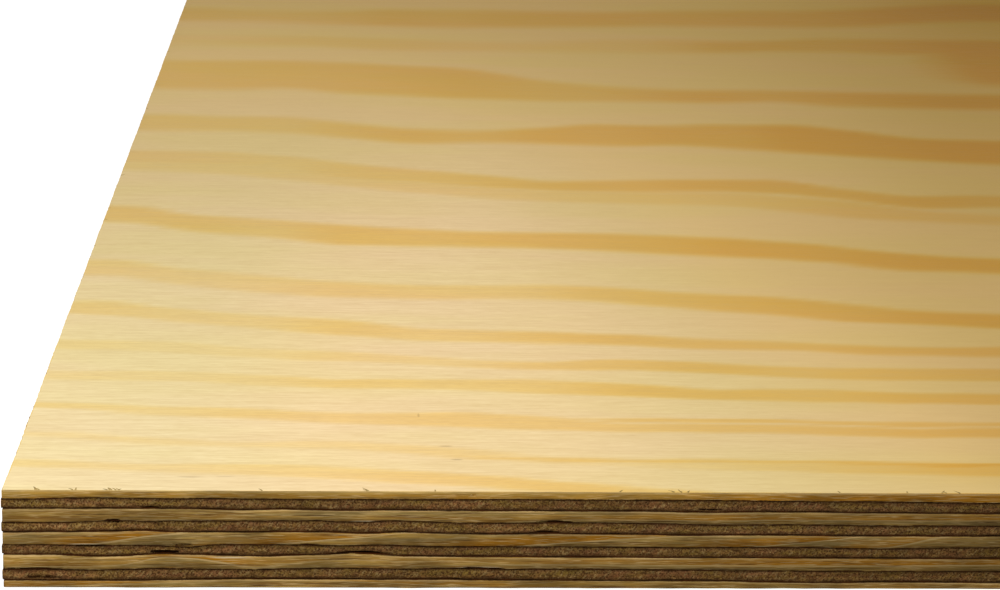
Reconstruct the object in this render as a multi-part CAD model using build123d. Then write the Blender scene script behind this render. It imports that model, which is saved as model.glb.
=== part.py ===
from build123d import *
import os
from dataclasses import dataclass

# Nine-ply softwood plywood sheet, lying flat with its good face up.
# X runs along the grain of the face, Y across it and Z up. All sizes are in millimetres.
# The origin is the middle of the underside.

# The sheet as it is sold
sheet_length = 2440.0
sheet_width = 1220.0

# Peeled veneers, as thick as they are after pressing and sanding
face_veneer_thickness = 2.05
crossband_thickness = 2.35
centre_ply_thickness = 3.10

# Long-grain plies between the two outer veneers, each with a crossband on either side
centre_ply_count = 3

# Cured film of glue between two plies
glue_line_thickness = 0.15

# Sawn edges: torn end grain lies a little behind the cleanly cut side grain,
# and the brittle glue has chipped back behind both
end_grain_setback = 0.25
glue_setback = 0.55


@dataclass
class Layer:
    """One sheet of the lay-up: its name, its thickness and how far its edges stand back."""

    name: str
    thickness: float
    end_setback: float
    side_setback: float


def long_ply(name, thickness):
    """A ply with its grain along X, so its two ends at the short edges are end grain."""
    return Layer(name, thickness, end_grain_setback, 0.0)


def cross_ply(name, thickness):
    """A ply with its grain along Y, so its two ends at the long edges are end grain."""
    return Layer(name, thickness, 0.0, end_grain_setback)


def glue_line(number):
    """The glue between two plies, set back on all four edges."""
    return Layer(f"glue_line_{number}", glue_line_thickness, glue_setback, glue_setback)


def veneers():
    """The wooden plies from the good face down to the back, crossbands between long-grain plies."""
    plies = [long_ply("face_veneer", face_veneer_thickness)]
    for number in range(1, centre_ply_count + 1):
        plies.append(cross_ply(f"crossband_{number}", crossband_thickness))
        plies.append(long_ply(f"centre_ply_{number}", centre_ply_thickness))
    plies.append(cross_ply(f"crossband_{centre_ply_count + 1}", crossband_thickness))
    plies.append(long_ply("back_veneer", face_veneer_thickness))
    return plies


def lay_up():
    """Every layer from the good face down, with a glue line under each veneer but the last."""
    plies = veneers()
    layers = [plies[0]]
    for number, ply in enumerate(plies[1:], start=1):
        layers += [glue_line(number), ply]
    return layers


def layer_solid(layer, underside):
    """The layer's sawn outline, extruded up from the height of its underside."""
    outline = Plane.XY.offset(underside) * Rectangle(
        sheet_length - 2 * layer.end_setback,
        sheet_width - 2 * layer.side_setback,
    )
    return extrude(outline, layer.thickness)


def build_sheet():
    """Each layer's solid by name. They are laid from the back up, each on the one below it."""
    solids = {}
    underside = 0.0
    for layer in reversed(lay_up()):
        solids[layer.name] = layer_solid(layer, underside)
        underside += layer.thickness
    return solids


os.makedirs("parts", exist_ok=True)
for name, solid in build_sheet().items():
    solid.label = name
    export_step(solid, f"parts/{name}.step")
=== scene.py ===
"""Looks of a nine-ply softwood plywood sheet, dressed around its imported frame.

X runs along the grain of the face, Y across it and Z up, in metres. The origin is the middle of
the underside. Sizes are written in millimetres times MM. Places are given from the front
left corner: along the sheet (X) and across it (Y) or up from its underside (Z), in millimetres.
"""

import logging
import math
from collections.abc import Callable, Sequence
from dataclasses import dataclass, field
from enum import Enum
from typing import ClassVar

import bmesh
import bpy
import numpy as np
from mathutils import Matrix, Vector, noise


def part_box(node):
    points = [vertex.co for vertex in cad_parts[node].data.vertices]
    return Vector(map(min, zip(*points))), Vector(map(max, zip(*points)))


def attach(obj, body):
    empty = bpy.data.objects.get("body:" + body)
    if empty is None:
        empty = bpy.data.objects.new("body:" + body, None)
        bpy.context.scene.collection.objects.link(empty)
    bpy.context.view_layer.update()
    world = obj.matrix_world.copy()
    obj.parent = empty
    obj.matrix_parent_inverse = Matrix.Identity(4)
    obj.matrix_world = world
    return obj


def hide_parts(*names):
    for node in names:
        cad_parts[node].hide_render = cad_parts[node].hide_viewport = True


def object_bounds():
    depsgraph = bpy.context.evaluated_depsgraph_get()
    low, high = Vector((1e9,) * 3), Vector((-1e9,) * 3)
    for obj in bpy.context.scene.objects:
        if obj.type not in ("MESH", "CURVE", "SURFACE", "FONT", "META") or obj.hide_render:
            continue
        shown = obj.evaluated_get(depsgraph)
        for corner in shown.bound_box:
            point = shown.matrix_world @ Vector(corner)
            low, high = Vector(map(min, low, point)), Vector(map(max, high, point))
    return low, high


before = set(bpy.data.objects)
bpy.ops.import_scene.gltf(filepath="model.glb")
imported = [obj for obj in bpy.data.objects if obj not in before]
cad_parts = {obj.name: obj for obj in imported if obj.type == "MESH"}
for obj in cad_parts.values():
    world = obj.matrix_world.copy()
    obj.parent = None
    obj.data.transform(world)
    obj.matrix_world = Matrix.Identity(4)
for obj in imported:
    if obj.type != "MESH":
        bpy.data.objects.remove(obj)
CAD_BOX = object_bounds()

MM = 0.001
BODY = "root"
LOG = logging.getLogger("plywood")
CORNER = CAD_BOX[0]
# An edge between faces that turn by more than this is sharp
SHARP_TURN = math.radians(38)
# A face is level where the Z of its normal is above this
LEVEL_NORMAL = 0.9

Colour = tuple[float, float, float]
Point = tuple[float, float]
Row = tuple[float, float, float, float]
Mesh, Vert, Edge = bmesh.types.BMesh, bmesh.types.BMVert, bmesh.types.BMEdge
Node, Socket = bpy.types.Node, bpy.types.NodeSocket
Value = float | Socket
Tint = Colour | Socket
Inputs = dict[str | int, Value | Colour]
Setting = str | bool | bpy.types.NodeTree


class Grain(Enum):
    """The way the fibres of a veneer run, as the turn about Z that brings them onto X."""

    ALONG = 0.0
    ACROSS = -math.pi / 2


class Side(Enum):
    """Which material slot of a ply's mesh a face takes."""

    SANDED = 0
    LONG_EDGE = 1
    SHORT_EDGE = 2


def smooth_curve(points: Sequence[Point], at: np.ndarray) -> np.ndarray:
    """A smooth line through given points, level beyond its ends and never past its points.

    Args:
        points: the points that the line passes, from left to right.
        at: where the line is wanted.

    Returns:
        The line's height at each place.
    """
    xs, ys = (np.array(column, float) for column in zip(*points))
    slopes = np.zeros_like(ys)
    if len(xs) > 2:
        steps = np.diff(ys) / np.diff(xs)
        before, after = steps[:-1], steps[1:]
        total = np.where(before * after > 0, before + after, np.inf)
        slopes[1:-1] = 2 * before * after / total
    at = np.clip(at, xs[0], xs[-1])
    left = np.clip(np.searchsorted(xs, at, side="right") - 1, 0, max(len(xs) - 2, 0))
    right = np.minimum(left + 1, len(xs) - 1)
    span = np.maximum(xs[right] - xs[left], 1e-9)
    t = (at - xs[left]) / span
    from_left = (1 + 2 * t) * (1 - t) ** 2 * ys[left] + t * (1 - t) ** 2 * span * slopes[left]
    from_right = t * t * (3 - 2 * t) * ys[right] + t * t * (t - 1) * span * slopes[right]
    return from_left + from_right


def smooth_step(low: float, high: float, at: np.ndarray) -> np.ndarray:
    """An even rise from 0 at low to 1 at high."""
    t = np.clip((at - low) / (high - low), 0.0, 1.0)
    return t * t * (3 - 2 * t)


def ripple(x: float, y: float, layer: float) -> float:
    """Smooth noise from about -1 to 1 at a place, different for each layer."""
    return 2 * noise.noise(Vector((x, y, 7.31 * layer)))


def wave(x: float, y: float, length: float, layer: float) -> float:
    """The same noise at a place in metres, with waves of a length in mm."""
    return ripple(x / MM / length, y / MM / length, layer)


def ripples(x: np.ndarray, y: np.ndarray, layer: float) -> np.ndarray:
    """The same noise at many places."""
    return np.array([ripple(a, b, layer) for a, b in zip(x, y)])


def falling(start: float, end: float, at: float) -> float:
    """A straight fall from 1 at start to 0 at end."""
    return min(1.0, max(0.0, (end - at) / (end - start)))


class HandLine:
    """A smooth line through given points, worked out once and then read at single places."""

    step = 0.5

    def __init__(self, *points: Point) -> None:
        """Works the line out through its points, which come from left to right."""
        self.first = points[0][0]
        places = np.arange(self.first, points[-1][0] + self.step, self.step)
        self.table = smooth_curve(points, places).tolist()

    def at(self, place: float) -> float:
        """The line's height at a place, level beyond its two ends.

        Args:
            place: where it is read.

        Returns:
            The height.
        """
        steps = min(max((place - self.first) / self.step, 0.0), len(self.table) - 1.001)
        index = int(steps)
        share = steps - index
        return self.table[index] * (1 - share) + self.table[index + 1] * share


@dataclass(frozen=True)
class Band:
    """One band of late wood near the sheet's front left corner.

    Attributes:
        rows: from left to right, a distance along the sheet, the distances of the band's front
            and back edge across it, all in mm, and the depth of its colour, from 0 to about 1.
        soft: half of the width over which its edges fade, in mm.
    """

    rows: tuple[Row, ...]
    soft: float = 2.2

    def line(self, column: int, along: np.ndarray) -> np.ndarray:
        """One column of its rows at each place along the sheet."""
        return smooth_curve([(row[0], row[column]) for row in self.rows], along)

    def depth(self, along: np.ndarray, across: np.ndarray) -> np.ndarray:
        """How strong its colour is at each place."""
        inside = np.minimum(across - self.line(1, along), self.line(2, along) - across)
        return self.line(3, along) * smooth_step(-self.soft, self.soft, inside)


@dataclass
class RotaryFigure:
    """Growth rings as a knife peels them off a turning log.

    The rings lie in long lines where the knife crosses them quickly, and open into loops where it
    runs along them. A point's ring number rises by one from the late wood of one year to the next.
    Places are given as distances along and across the sheet from the front left corner, in mm.

    Attributes:
        seed: sets this veneer's noise apart from the others.
        crossing: distance across the sheet against ring number, at the end of the corner.
        bands: the late wood of the corner, placed band by band.
        corner: how far those bands reach along the sheet, at its front edge and at their back end,
            and how far across it, in mm.
        gold: how golden the early wood is beyond the corner.
        tones: how golden the early wood of the corner is: for each distance across the sheet, the
        tone against the distance along it. Its rise towards the back right is partly the wood's own tone and
        partly painted shade where the light falls off from the corner.
        waves: how the rings wander: the share, length and width of each wave.
        sway: how far they wander across the sheet, in mm.
    """

    seed: float
    crossing: tuple[Point, ...]
    bands: tuple[Band, ...] = ()
    corner: tuple[float, float, float] = (250.0, 430.0, 805.0)
    gold: float = 0.62
    tones: tuple[tuple[float, tuple[Point, ...]], ...] = ()
    waves: tuple[tuple[float, float, float], ...] = (
        (1.00, 760.0, 330.0), (0.42, 300.0, 150.0), (0.13, 95.0, 60.0)
    )
    sway: float = 38.0

    def noise(self, along: np.ndarray, across: np.ndarray, layer: float) -> np.ndarray:
        """This veneer's own noise, where both distances are shares of a wave."""
        return ripples(along, across, self.seed + layer)

    def wander(self, along: np.ndarray, across: np.ndarray) -> np.ndarray:
        """How far the rings have strayed across the sheet at each place, in mm."""
        waves = enumerate(self.waves)
        return self.sway * sum(
            share * self.noise(along / length, across / width, 0.37 * number)
            for number, (share, length, width) in waves
        )

    def ragged(self, along: np.ndarray, across: np.ndarray) -> np.ndarray:
        """How far the fibres draw the edge of a band across the sheet, in mm."""
        fine = 0.5 * self.noise(along / 15, across / 5, 7)
        return fine + 0.9 * self.noise(along / 48, across / 16, 8)

    def wide_depth(self, along: np.ndarray, across: np.ndarray) -> np.ndarray:
        """Depth of the late wood's colour beyond the corner, from the ring numbers.

        Args:
            along: distances along the sheet.
            across: distances across it.

        Returns:
            The depth at each place.
        """
        drift = self.wander(along, across) - self.wander(self.corner_end(across), across)
        number = smooth_curve(self.crossing, across + drift + self.ragged(along, across))
        half = 0.17 + 0.06 * self.noise(along / 420, number / 2.1, 3)
        depth = 0.66 + 0.24 * self.noise(along / 510, number / 1.7, 4)
        return depth * smooth_step(-0.10, 0.10, half - np.abs(number - np.round(number)))

    def corner_end(self, across: np.ndarray) -> np.ndarray:
        """How far along the sheet the corner reaches, at each distance across it."""
        front, back, depth = self.corner
        return np.interp(across, (0.0, depth), (front, back))

    def near_corner(self, along: np.ndarray, across: np.ndarray, fade: Point) -> np.ndarray:
        """Full inside the corner, and nothing from a fade's width along and across beyond it."""
        right = 1 - smooth_step(0.0, fade[0], along - self.corner_end(across))
        return right * (1 - smooth_step(0.0, fade[1], across - self.corner[2]))

    def late(self, along: np.ndarray, across: np.ndarray) -> np.ndarray:
        """How deep the colour of late wood is at each place.

        Args:
            along: distances along the sheet.
            across: distances across it.

        Returns:
            The depth, from 0 in early wood to about 1.
        """
        wide = self.wide_depth(along, across)
        if not self.bands:
            return wide
        drawn = across + self.ragged(along, across)
        placed = np.max([band.depth(along, drawn) for band in self.bands], axis=0)
        held = self.near_corner(along, across, (90.0, 35.0))
        return held * placed + (1 - held) * wide

    def tone(self, along: np.ndarray, across: np.ndarray) -> np.ndarray:
        """How golden the early wood is at each place.

        Args:
            along: distances along the sheet.
            across: distances across it.

        Returns:
            The tone, from 0 to about 1. Near the corner its rise towards the back right is partly painted
            shade.
        """
        drift = self.gold + 0.15 * self.noise(along / 620, across / 210, 5)
        drift += 0.06 * self.noise(along / 160, across / 60, 6)
        if not self.tones:
            return drift
        # Near the corner the tone is partly painted light: pale at the front left, darker towards the back
        # right where the light falls off
        held = self.near_corner(along, across, (900.0, 240.0))
        lines = np.array([smooth_curve(line, along) for _, line in self.tones])
        rows = np.array([row for row, _ in self.tones])
        place = np.interp(across, rows, np.arange(len(rows)))
        before = np.minimum(place.astype(int), len(rows) - 2)
        share, column = place - before, np.arange(len(along))
        placed = lines[before, column] * (1 - share) + lines[before + 1, column] * share
        return held * placed + (1 - held) * drift


# The late wood of the good face near the front left corner, from the front edge to the back
CORNER_BANDS = (
    Band((
        (8, 17, 22.5, 0.26), (30, 14, 20.5, 0.22), (55, 12, 19.5, 0.27), (80, 9, 18, 0.32),
        (105, 5, 13, 0.42), (130, 0, 7, 0.50), (155, -4, 2, 0.5), (180, -9, -3, 0.5),
    ), 1.4),
    Band((
        (8, 41.5, 45, 0.20), (30, 37, 41.5, 0.20), (55, 34, 38, 0.18), (80, 32, 37.5, 0.22),
        (105, 27, 34, 0.26), (130, 22, 28, 0.16), (155, 19, 25, 0.14), (180, 17, 23, 0.26),
        (205, 15, 23, 0.40), (230, 14, 22, 0.56),
    ), 1.6),
    Band((
        (88, 28.5, 31, 0.0), (117, 25, 27.8, 0.45), (163, 22.6, 25.4, 0.55), (187, 21.6, 24.2, 0.58),
        (210, 21.0, 24, 0.76), (234, 21.0, 24.2, 1.0),
    ), 0.9),
    Band(((170, 10, 22, 0.0), (200, 9, 24, 0.03), (234, 8, 24, 0.06), (300, 8, 24, 0.4)), 3.0),
    Band((
        (8, 66, 71, 0.32), (30, 61, 67.5, 0.26), (55, 58.5, 66, 0.36), (80, 54, 63, 0.34),
        (105, 52, 63, 0.42), (130, 50, 60, 0.40), (155, 48, 55, 0.44), (180, 47, 54, 0.52),
        (205, 46, 53, 0.52), (230, 45, 52, 0.60),
    ), 1.5),
    Band((
        (130, 58, 60, 0.0), (155, 56.5, 59.5, 0.50), (180, 56, 59, 0.58), (205, 54.5, 57.5, 0.5),
        (230, 53.5, 56.5, 0.55),
    ), 0.9),
    Band((
        (8, 92, 101, 0.20), (30, 92, 101, 0.18), (55, 88, 98, 0.20), (80, 86, 94, 0.38),
        (105, 85, 94, 0.36), (130, 82, 94, 0.38), (155, 80, 91, 0.60), (180, 78, 86, 0.62),
        (205, 76, 86, 0.50), (230, 75, 83, 0.60),
    ), 1.6),
    Band((
        (8, 123, 132, 0.20), (30, 120, 131, 0.14), (55, 115, 124, 0.16), (80, 113, 121, 0.26),
        (105, 108, 116, 0.24), (130, 105, 113, 0.40), (155, 105, 115, 0.50), (180, 102, 112, 0.60),
        (205, 98, 109, 0.44), (230, 97, 108, 0.50),
    ), 1.8),
    Band((
        (8, 160, 176, 0.34), (30, 152, 168, 0.27), (55, 146, 160, 0.26), (80, 139, 155, 0.44),
        (105, 134, 146, 0.36), (130, 132, 143, 0.50), (155, 131, 142, 0.62), (180, 127, 137, 0.56),
        (205, 126, 135, 0.50), (230, 122, 131, 0.58), (255, 121, 130, 0.58),
    ), 2.5),
    Band((
        (8, 206, 226, 0.30), (30, 196, 215, 0.26), (55, 187, 208, 0.29), (80, 182, 200, 0.38),
        (105, 181, 197, 0.36), (130, 182, 198, 0.34), (155, 180, 197, 0.52), (180, 172, 191, 0.58),
        (205, 166, 186, 0.64), (230, 157, 177, 0.68), (255, 154, 170, 0.82), (290, 150, 166, 0.85),
    ), 3.3),
    Band((
        (8, 280, 304, 0.46), (30, 268, 290, 0.48), (55, 260, 284, 0.40), (80, 250, 276, 0.62),
        (105, 250, 272, 0.60), (130, 249, 268, 0.70), (155, 246, 268, 0.70), (180, 242, 266, 0.72),
        (205, 238, 263, 0.84), (230, 232, 256, 0.80), (255, 222, 244, 0.88), (280, 219, 238, 0.92),
        (330, 214, 234, 0.95),
    ), 4.2),
    Band((
        (8, 376, 398, 0.28), (30, 373, 397, 0.27), (55, 368, 392, 0.26), (80, 352, 378, 0.38),
        (105, 346, 368, 0.44), (130, 339, 358, 0.54), (155, 335, 350, 0.64), (180, 335, 353, 0.60),
        (205, 336, 356, 0.68), (230, 334, 356, 0.66), (255, 324, 342, 0.64), (280, 312, 331, 0.72),
        (305, 315, 334, 0.58), (340, 311, 331, 0.58),
    ), 4.5),
    Band((
        (8, 363, 380, 0.18), (55, 351, 374, 0.22), (105, 328, 348, 0.26), (130, 320, 340, 0.27),
        (155, 317, 335, 0.25), (205, 314, 335, 0.26), (235, 303, 327, 0.32), (255, 294, 321, 0.36),
        (280, 290, 306, 0.34), (315, 287, 301, 0.30), (380, 282, 292, 0.0),
    ), 4.5),
    Band((
        (8, 438, 470, 0.34), (30, 439, 466, 0.35), (55, 436, 467, 0.33), (80, 427, 456, 0.50),
        (105, 418, 446, 0.64), (130, 420, 443, 0.56), (155, 419, 450, 0.70), (180, 417, 459, 0.66),
        (205, 420, 457, 0.76), (230, 413, 461, 0.74), (255, 407, 461, 0.98), (280, 399, 450, 0.94),
        (305, 392, 436, 0.98), (330, 388, 434, 1.0),
    ), 7.0),
    Band((
        (8, 528, 598, 0.40), (30, 528, 598, 0.44), (55, 532, 600, 0.46), (80, 522, 597, 0.50),
        (105, 518, 590, 0.56), (130, 514, 584, 0.60), (148, 512, 572, 0.54), (162, 511, 558, 0.48),
        (180, 511, 548, 0.47), (205, 511, 541, 0.57), (230, 510, 538, 0.70), (255, 514, 539, 0.62),
        (280, 507, 538, 0.70), (305, 505, 536, 0.78), (345, 502, 534, 0.90),
    ), 8.5),
    Band((
        (8, 640, 668, 0.12), (55, 642, 670, 0.22), (105, 632, 664, 0.25), (155, 634, 660, 0.20),
        (205, 634, 670, 0.20), (235, 636, 672, 0.34), (255, 638, 670, 0.58), (280, 643, 674, 0.56),
        (305, 644, 682, 0.52), (330, 640, 682, 0.60), (385, 640, 682, 0.80), (430, 629, 668, 0.82),
        (470, 618, 656, 0.72),
    ), 10.0),
    Band((
        (325, 575, 600, 0.0), (345, 566, 650, 0.3), (362, 562, 678, 0.80), (382, 568, 679, 0.82),
        (405, 592, 672, 0.80), (430, 614, 662, 0.78), (470, 622, 652, 0.70),
    ), 14.0),
    Band((
        (8, 714, 752, 0.36), (30, 714, 748, 0.33), (55, 710, 748, 0.32), (80, 706, 750, 0.38),
        (105, 704, 756, 0.52), (130, 702, 756, 0.48), (155, 706, 757, 0.56), (180, 708, 757, 0.58),
        (205, 711, 757, 0.60), (230, 716, 762, 0.56), (255, 717, 766, 0.57), (280, 718, 768, 0.60),
        (305, 717, 771, 0.60), (330, 722, 776, 0.68), (355, 734, 784, 0.75), (400, 744, 800, 0.7),
    ), 12.0),
)

# How golden the early wood is there: rows of distance across the sheet, and in each the tone
# against the distance along it. Its rise towards the back right is partly the wood's own tone and partly
# painted shade where the light falls off from the front left corner
CORNER_TONES_AND_PAINTED_FALLOFF = (
    (30, ((0, 0.0), (60, 0.02), (110, 0.05), (160, 0.19), (210, 0.40), (280, 0.75))),
    (200, ((0, 0.10), (110, 0.07), (160, 0.28), (210, 0.55), (280, 0.77))),
    (320, ((0, 0.23), (110, 0.20), (175, 0.44), (245, 0.68), (315, 0.88))),
    (490, ((0, 0.39), (80, 0.42), (175, 0.60), (245, 0.76), (350, 1.0))),
    (700, ((0, 0.63), (110, 0.71), (210, 0.83), (315, 1.01), (420, 1.17))),
    (790, ((0, 0.78), (110, 0.80), (210, 0.88), (315, 1.04), (420, 1.24), (500, 1.26), (700, 0.85))),
)

# Distance across the sheet against ring number from front to back: the knife slows over the rings
# of the corner, turns in the middle of the sheet and crosses the same rings again at the back
FACE_CROSSING = (
    (-60, -2.2), (-7, 0.0), (22, 1.0), (49, 2.0), (79, 3.0), (102, 4.0), (126, 5.0), (158, 6.0), (224, 7.0),
    (320, 8.0), (411, 9.0), (517, 10.0), (630, 11.0), (775, 12.0), (860, 12.4), (930, 12.0), (1000, 11.1),
    (1065, 10.0), (1120, 8.9), (1170, 7.8), (1240, 6.2),
)
BACK_CROSSING = (
    (-40, 9.0), (40, 7.1), (110, 5.2), (180, 3.6), (260, 2.4), (350, 1.7), (440, 1.9), (530, 2.8),
    (610, 4.2), (680, 5.8), (745, 7.6), (805, 9.5), (865, 11.4), (930, 13.0), (1010, 14.2), (1100, 14.9),
    (1250, 15.2),
)


@dataclass(frozen=True)
class SawnFigure:
    """Growth rings on the sawn edge of one ply, where they cross its thickness on a slant.

    Places are distances along the edge from its left or front end, in mm. The listed lines hold
    near the front left corner, along the front edge.

    Attributes:
        seed: sets this ply's noise apart from the others.
        run: distance along the edge from one ring to the next.
        ring: thickness of a ring, in mm.
        start: ring number at the left end of the ply's upper side.
        wobble: how unevenly the rings follow one another, in ring numbers.
        depth: how strong the late wood is.
        upper: listed ring numbers along the ply's upper side, or None.
        lower: the same along its lower side.
        depths: how strong the late wood is, or None.
        shades_and_painted_falloff: how light the ply is, where a common one is 1, partly its own tone and
            partly
        painted shade where the light falls off towards the right end of the corner, or None.
    """

    seed: float
    run: float = 170.0
    ring: float = 4.0
    start: float = 0.3
    wobble: float = 0.5
    depth: float = 0.7
    upper: HandLine | None = None
    lower: HandLine | None = None
    depths: HandLine | None = None
    shades_and_painted_falloff: HandLine | None = None

    @staticmethod
    def held(along: float) -> float:
        """How far the listed lines hold at a place."""
        return falling(240, 330, along)

    def near_corner(self, line: HandLine | None, wide: float, along: float, front: bool) -> float:
        """A value that is listed near the front left corner.

        Args:
            line: its listed line, or None.
            wide: its value everywhere else.
            along: the place.
            front: whether the place is on the front long edge.

        Returns:
            The value at that place.
        """
        if not front or line is None:
            return wide
        held = self.held(along)
        return held * line.at(along) + (1 - held) * wide

    def strength(self, along: float, front: bool) -> float:
        """How strong the late wood is at one place of the edge."""
        return self.near_corner(self.depths, self.depth, along, front)

    def lightness_and_painted_falloff(self, along: float, front: bool) -> float:
        """How much lighter than common the ply is at one place of the edge."""
        # Partly painted shade: the ply darker towards the right end of the corner, where the light falls off
        return self.near_corner(self.shades_and_painted_falloff, 1.0, along, front) - 1.0

    def number(self, along: float, depth: float, front: bool) -> float:
        """Ring number at one place of the edge.

        Args:
            along: the place.
            depth: share of the thickness below the ply's upper side.
            front: whether the place is on the front long edge.

        Returns:
            The ring number. Late wood ends at each whole number.
        """
        slow = ripple(along / 260, 0.5, self.seed) + 0.12 * ripple(along / 34, 0.5, self.seed + 1)
        wide = self.start + along / self.run + depth * 3.1 / self.ring + self.wobble * slow
        held = self.held(along)
        if not front or self.upper is None or held == 0:
            return wide
        hand = self.upper.at(along) * (1 - depth) + self.lower.at(along) * depth
        return hand + (1 - held) * (wide - round(wide - hand) - hand)


@dataclass(frozen=True)
class Chip:
    """A place on the front long edge where the saw tore the wood or the glue came away.

    Attributes:
        along: its middle, in mm from the front left corner.
        height: height of its middle above the underside, in mm.
        length: half of its length, in mm.
        reach: half of its height, in mm.
        depth: how deep it goes, in mm.
    """

    along: float
    height: float
    length: float
    reach: float
    depth: float

    def at(self, along: float, height: float) -> float:
        """How deep the chip is at a place of the edge, in mm."""
        away = ((along - self.along) / self.length) ** 2 + ((height - self.height) / self.reach) ** 2
        return self.depth * max(0.0, 1 - away) ** 0.5


FRONT_CHIPS = (
    Chip(37.3, 8.75, 3.6, 0.42, 1.5), Chip(20.1, 10.3, 3.8, 0.28, 0.8), Chip(25.6, 16.35, 2.1, 0.50, 1.2),
    Chip(36.2, 15.7, 0.9, 0.75, 1.0), Chip(6.3, 4.55, 7.3, 0.28, 0.8), Chip(9.0, 2.40, 5.2, 0.28, 0.7),
    Chip(34.2, 19.6, 1.9, 0.30, 0.8), Chip(83.0, 8.65, 5.2, 0.36, 0.9), Chip(110.8, 4.9, 6.3, 0.30, 0.8),
    Chip(128.6, 16.5, 4.4, 0.30, 0.9), Chip(109.2, 23.0, 0.6, 0.30, 0.4),
    Chip(126.5, 13.85, 3.3, 0.28, 0.7), Chip(165.3, 19.55, 3.1, 0.26, 0.6),
    Chip(70.5, 10.6, 3.6, 0.28, 0.7), Chip(41.5, 10.5, 2.6, 0.30, 0.7),
)

# How far each glue line strays up from its level along the front edge, in mm
CORNER_BOWS = {
    "glue_line_1": (
        (0, -0.2), (7, -0.2), (16, 0.1), (22, 0.2), (32, 0.0), (47, 0.05), (58, -0.05), (84, -0.05),
        (115, 0.05), (136, 0.05), (172, 0.0), (183, -0.15), (204, -0.2), (220, -0.35), (236, -0.45),
    ),
    "glue_line_2": (
        (0, 0.0), (21, 0.1), (40, 0.1), (56, -0.2), (65, 0.0), (82, -0.25), (89, -0.1), (115, -0.2),
        (150, -0.2), (164, -0.4), (178, -0.3), (209, -0.4), (236, -0.55),
    ),
    "glue_line_3": (
        (0, -0.2), (15, -0.1), (26, 0.35), (34, 0.15), (42, 0.35), (61, 0.4), (72, 0.5), (82, 0.15),
        (91, 0.5), (102, 0.15), (120, 0.0), (135, 0.15), (152, 0.0), (168, -0.3), (182, -0.15),
        (209, -0.35), (236, -0.4),
    ),
    "glue_line_4": (
        (0, 0.0), (16, 0.1), (25, 0.2), (32, 0.45), (40, 0.1), (52, 0.1), (73, 0.2), (84, -0.15), (94, 0.2),
        (102, 0.0), (115, -0.2), (127, -0.05), (150, -0.2), (159, -0.4), (178, -0.25), (197, -0.4),
        (236, -0.45),
    ),
    "glue_line_5": (
        (0, 0.15), (21, 0.05), (32, 0.0), (38, -0.2), (43, -0.45), (47, 0.0), (52, 0.3), (65, 0.25),
        (76, 0.05), (88, 0.25), (102, -0.1), (125, -0.05), (157, -0.2), (173, -0.1), (188, -0.1),
        (208, -0.4), (227, -0.05), (236, 0.0),
    ),
    "glue_line_6": (
        (0, 0.3), (13, 0.2), (21, -0.2), (27, -0.1), (33, 0.3), (37, 0.5), (42, 0.4), (52, 0.1), (60, 0.0),
        (72, 0.35), (82, 0.7), (88, 0.45), (94, 0.05), (120, -0.05), (146, -0.15), (178, -0.2), (236, -0.3),
    ),
    "glue_line_7": (
        (0, -0.25), (4, -0.3), (8, -0.15), (22, -0.35), (29, -0.1), (35, 0.1), (47, -0.05), (58, -0.1),
        (69, 0.1), (81, 0.2), (94, 0.1), (106, 0.3), (116, 0.0), (128, 0.15), (157, -0.05), (178, -0.2),
        (236, -0.3),
    ),
    "glue_line_8": (
        (0, -0.35), (21, -0.4), (34, -0.3), (47, -0.1), (54, 0.05), (84, 0.0), (105, 0.0), (116, -0.15),
        (146, -0.2), (171, -0.3), (178, -0.5), (197, -0.6), (209, -0.45), (236, -0.6),
    ),
}


@dataclass
class LayUp:
    """The heights at which the plies meet, level inside the sheet and uneven at its edges.

    Attributes:
        swell: how far a glue line strays up or down at the sawn edge.
        reach: how far in from the edge it is level again.
        near: how close to a side of a glue line a height has to be to move with it.
        lines: the lower and upper height of each glue line, from the back up.
        bows: how far each strays near the front left corner.
    """

    swell: float = 0.30 * MM
    reach: float = 12 * MM
    near: float = 0.001 * MM
    lines: dict[str, Point] = field(default_factory=dict)
    bows: list[HandLine] = field(default_factory=list)

    def __post_init__(self) -> None:
        """Finds the lower and upper height of each glue line, from the back up."""
        for name in sorted(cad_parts, reverse=True):
            if name in CORNER_BOWS:
                self.lines[name] = tuple(corner.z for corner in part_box(name))
                self.bows.append(HandLine(*CORNER_BOWS[name]))

    def stray(self, height: float, x: float, y: float) -> float:
        """How far the glue line nearest to a height strays there.

        Args:
            height: height of either side of a glue line, or of the top or underside.
            x: place along the sheet.
            y: place across the sheet.

        Returns:
            The rise, in metres, or nothing for the top and the underside.
        """
        for index, (low, high) in enumerate(self.lines.values()):
            if low - self.near < height < high + self.near:
                broad, short, fine = (
                    wave(x, y, length, index + layer)
                    for length, layer in ((46, 20), (13, 40), (4.5, 60))
                )
                along, across = (x - CORNER.x) / MM, (y - CORNER.y) / MM
                held = falling(230, 300, along) * falling(0, 60, across)
                bow = held * self.bows[index].at(along) * MM
                return bow + self.swell * ((1 - held) * (0.85 * broad + 0.25 * short) + 0.12 * fine)
        return 0.0


@dataclass(frozen=True)
class Level:
    """One line round a layer: how far it stands in from the outline and up the thickness.

    Attributes:
        setback: distance in from the layer's outline.
        rise: height as a share of the thickness, 0 at the lower side and 1 at the upper.
    """

    setback: float
    rise: float


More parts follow.
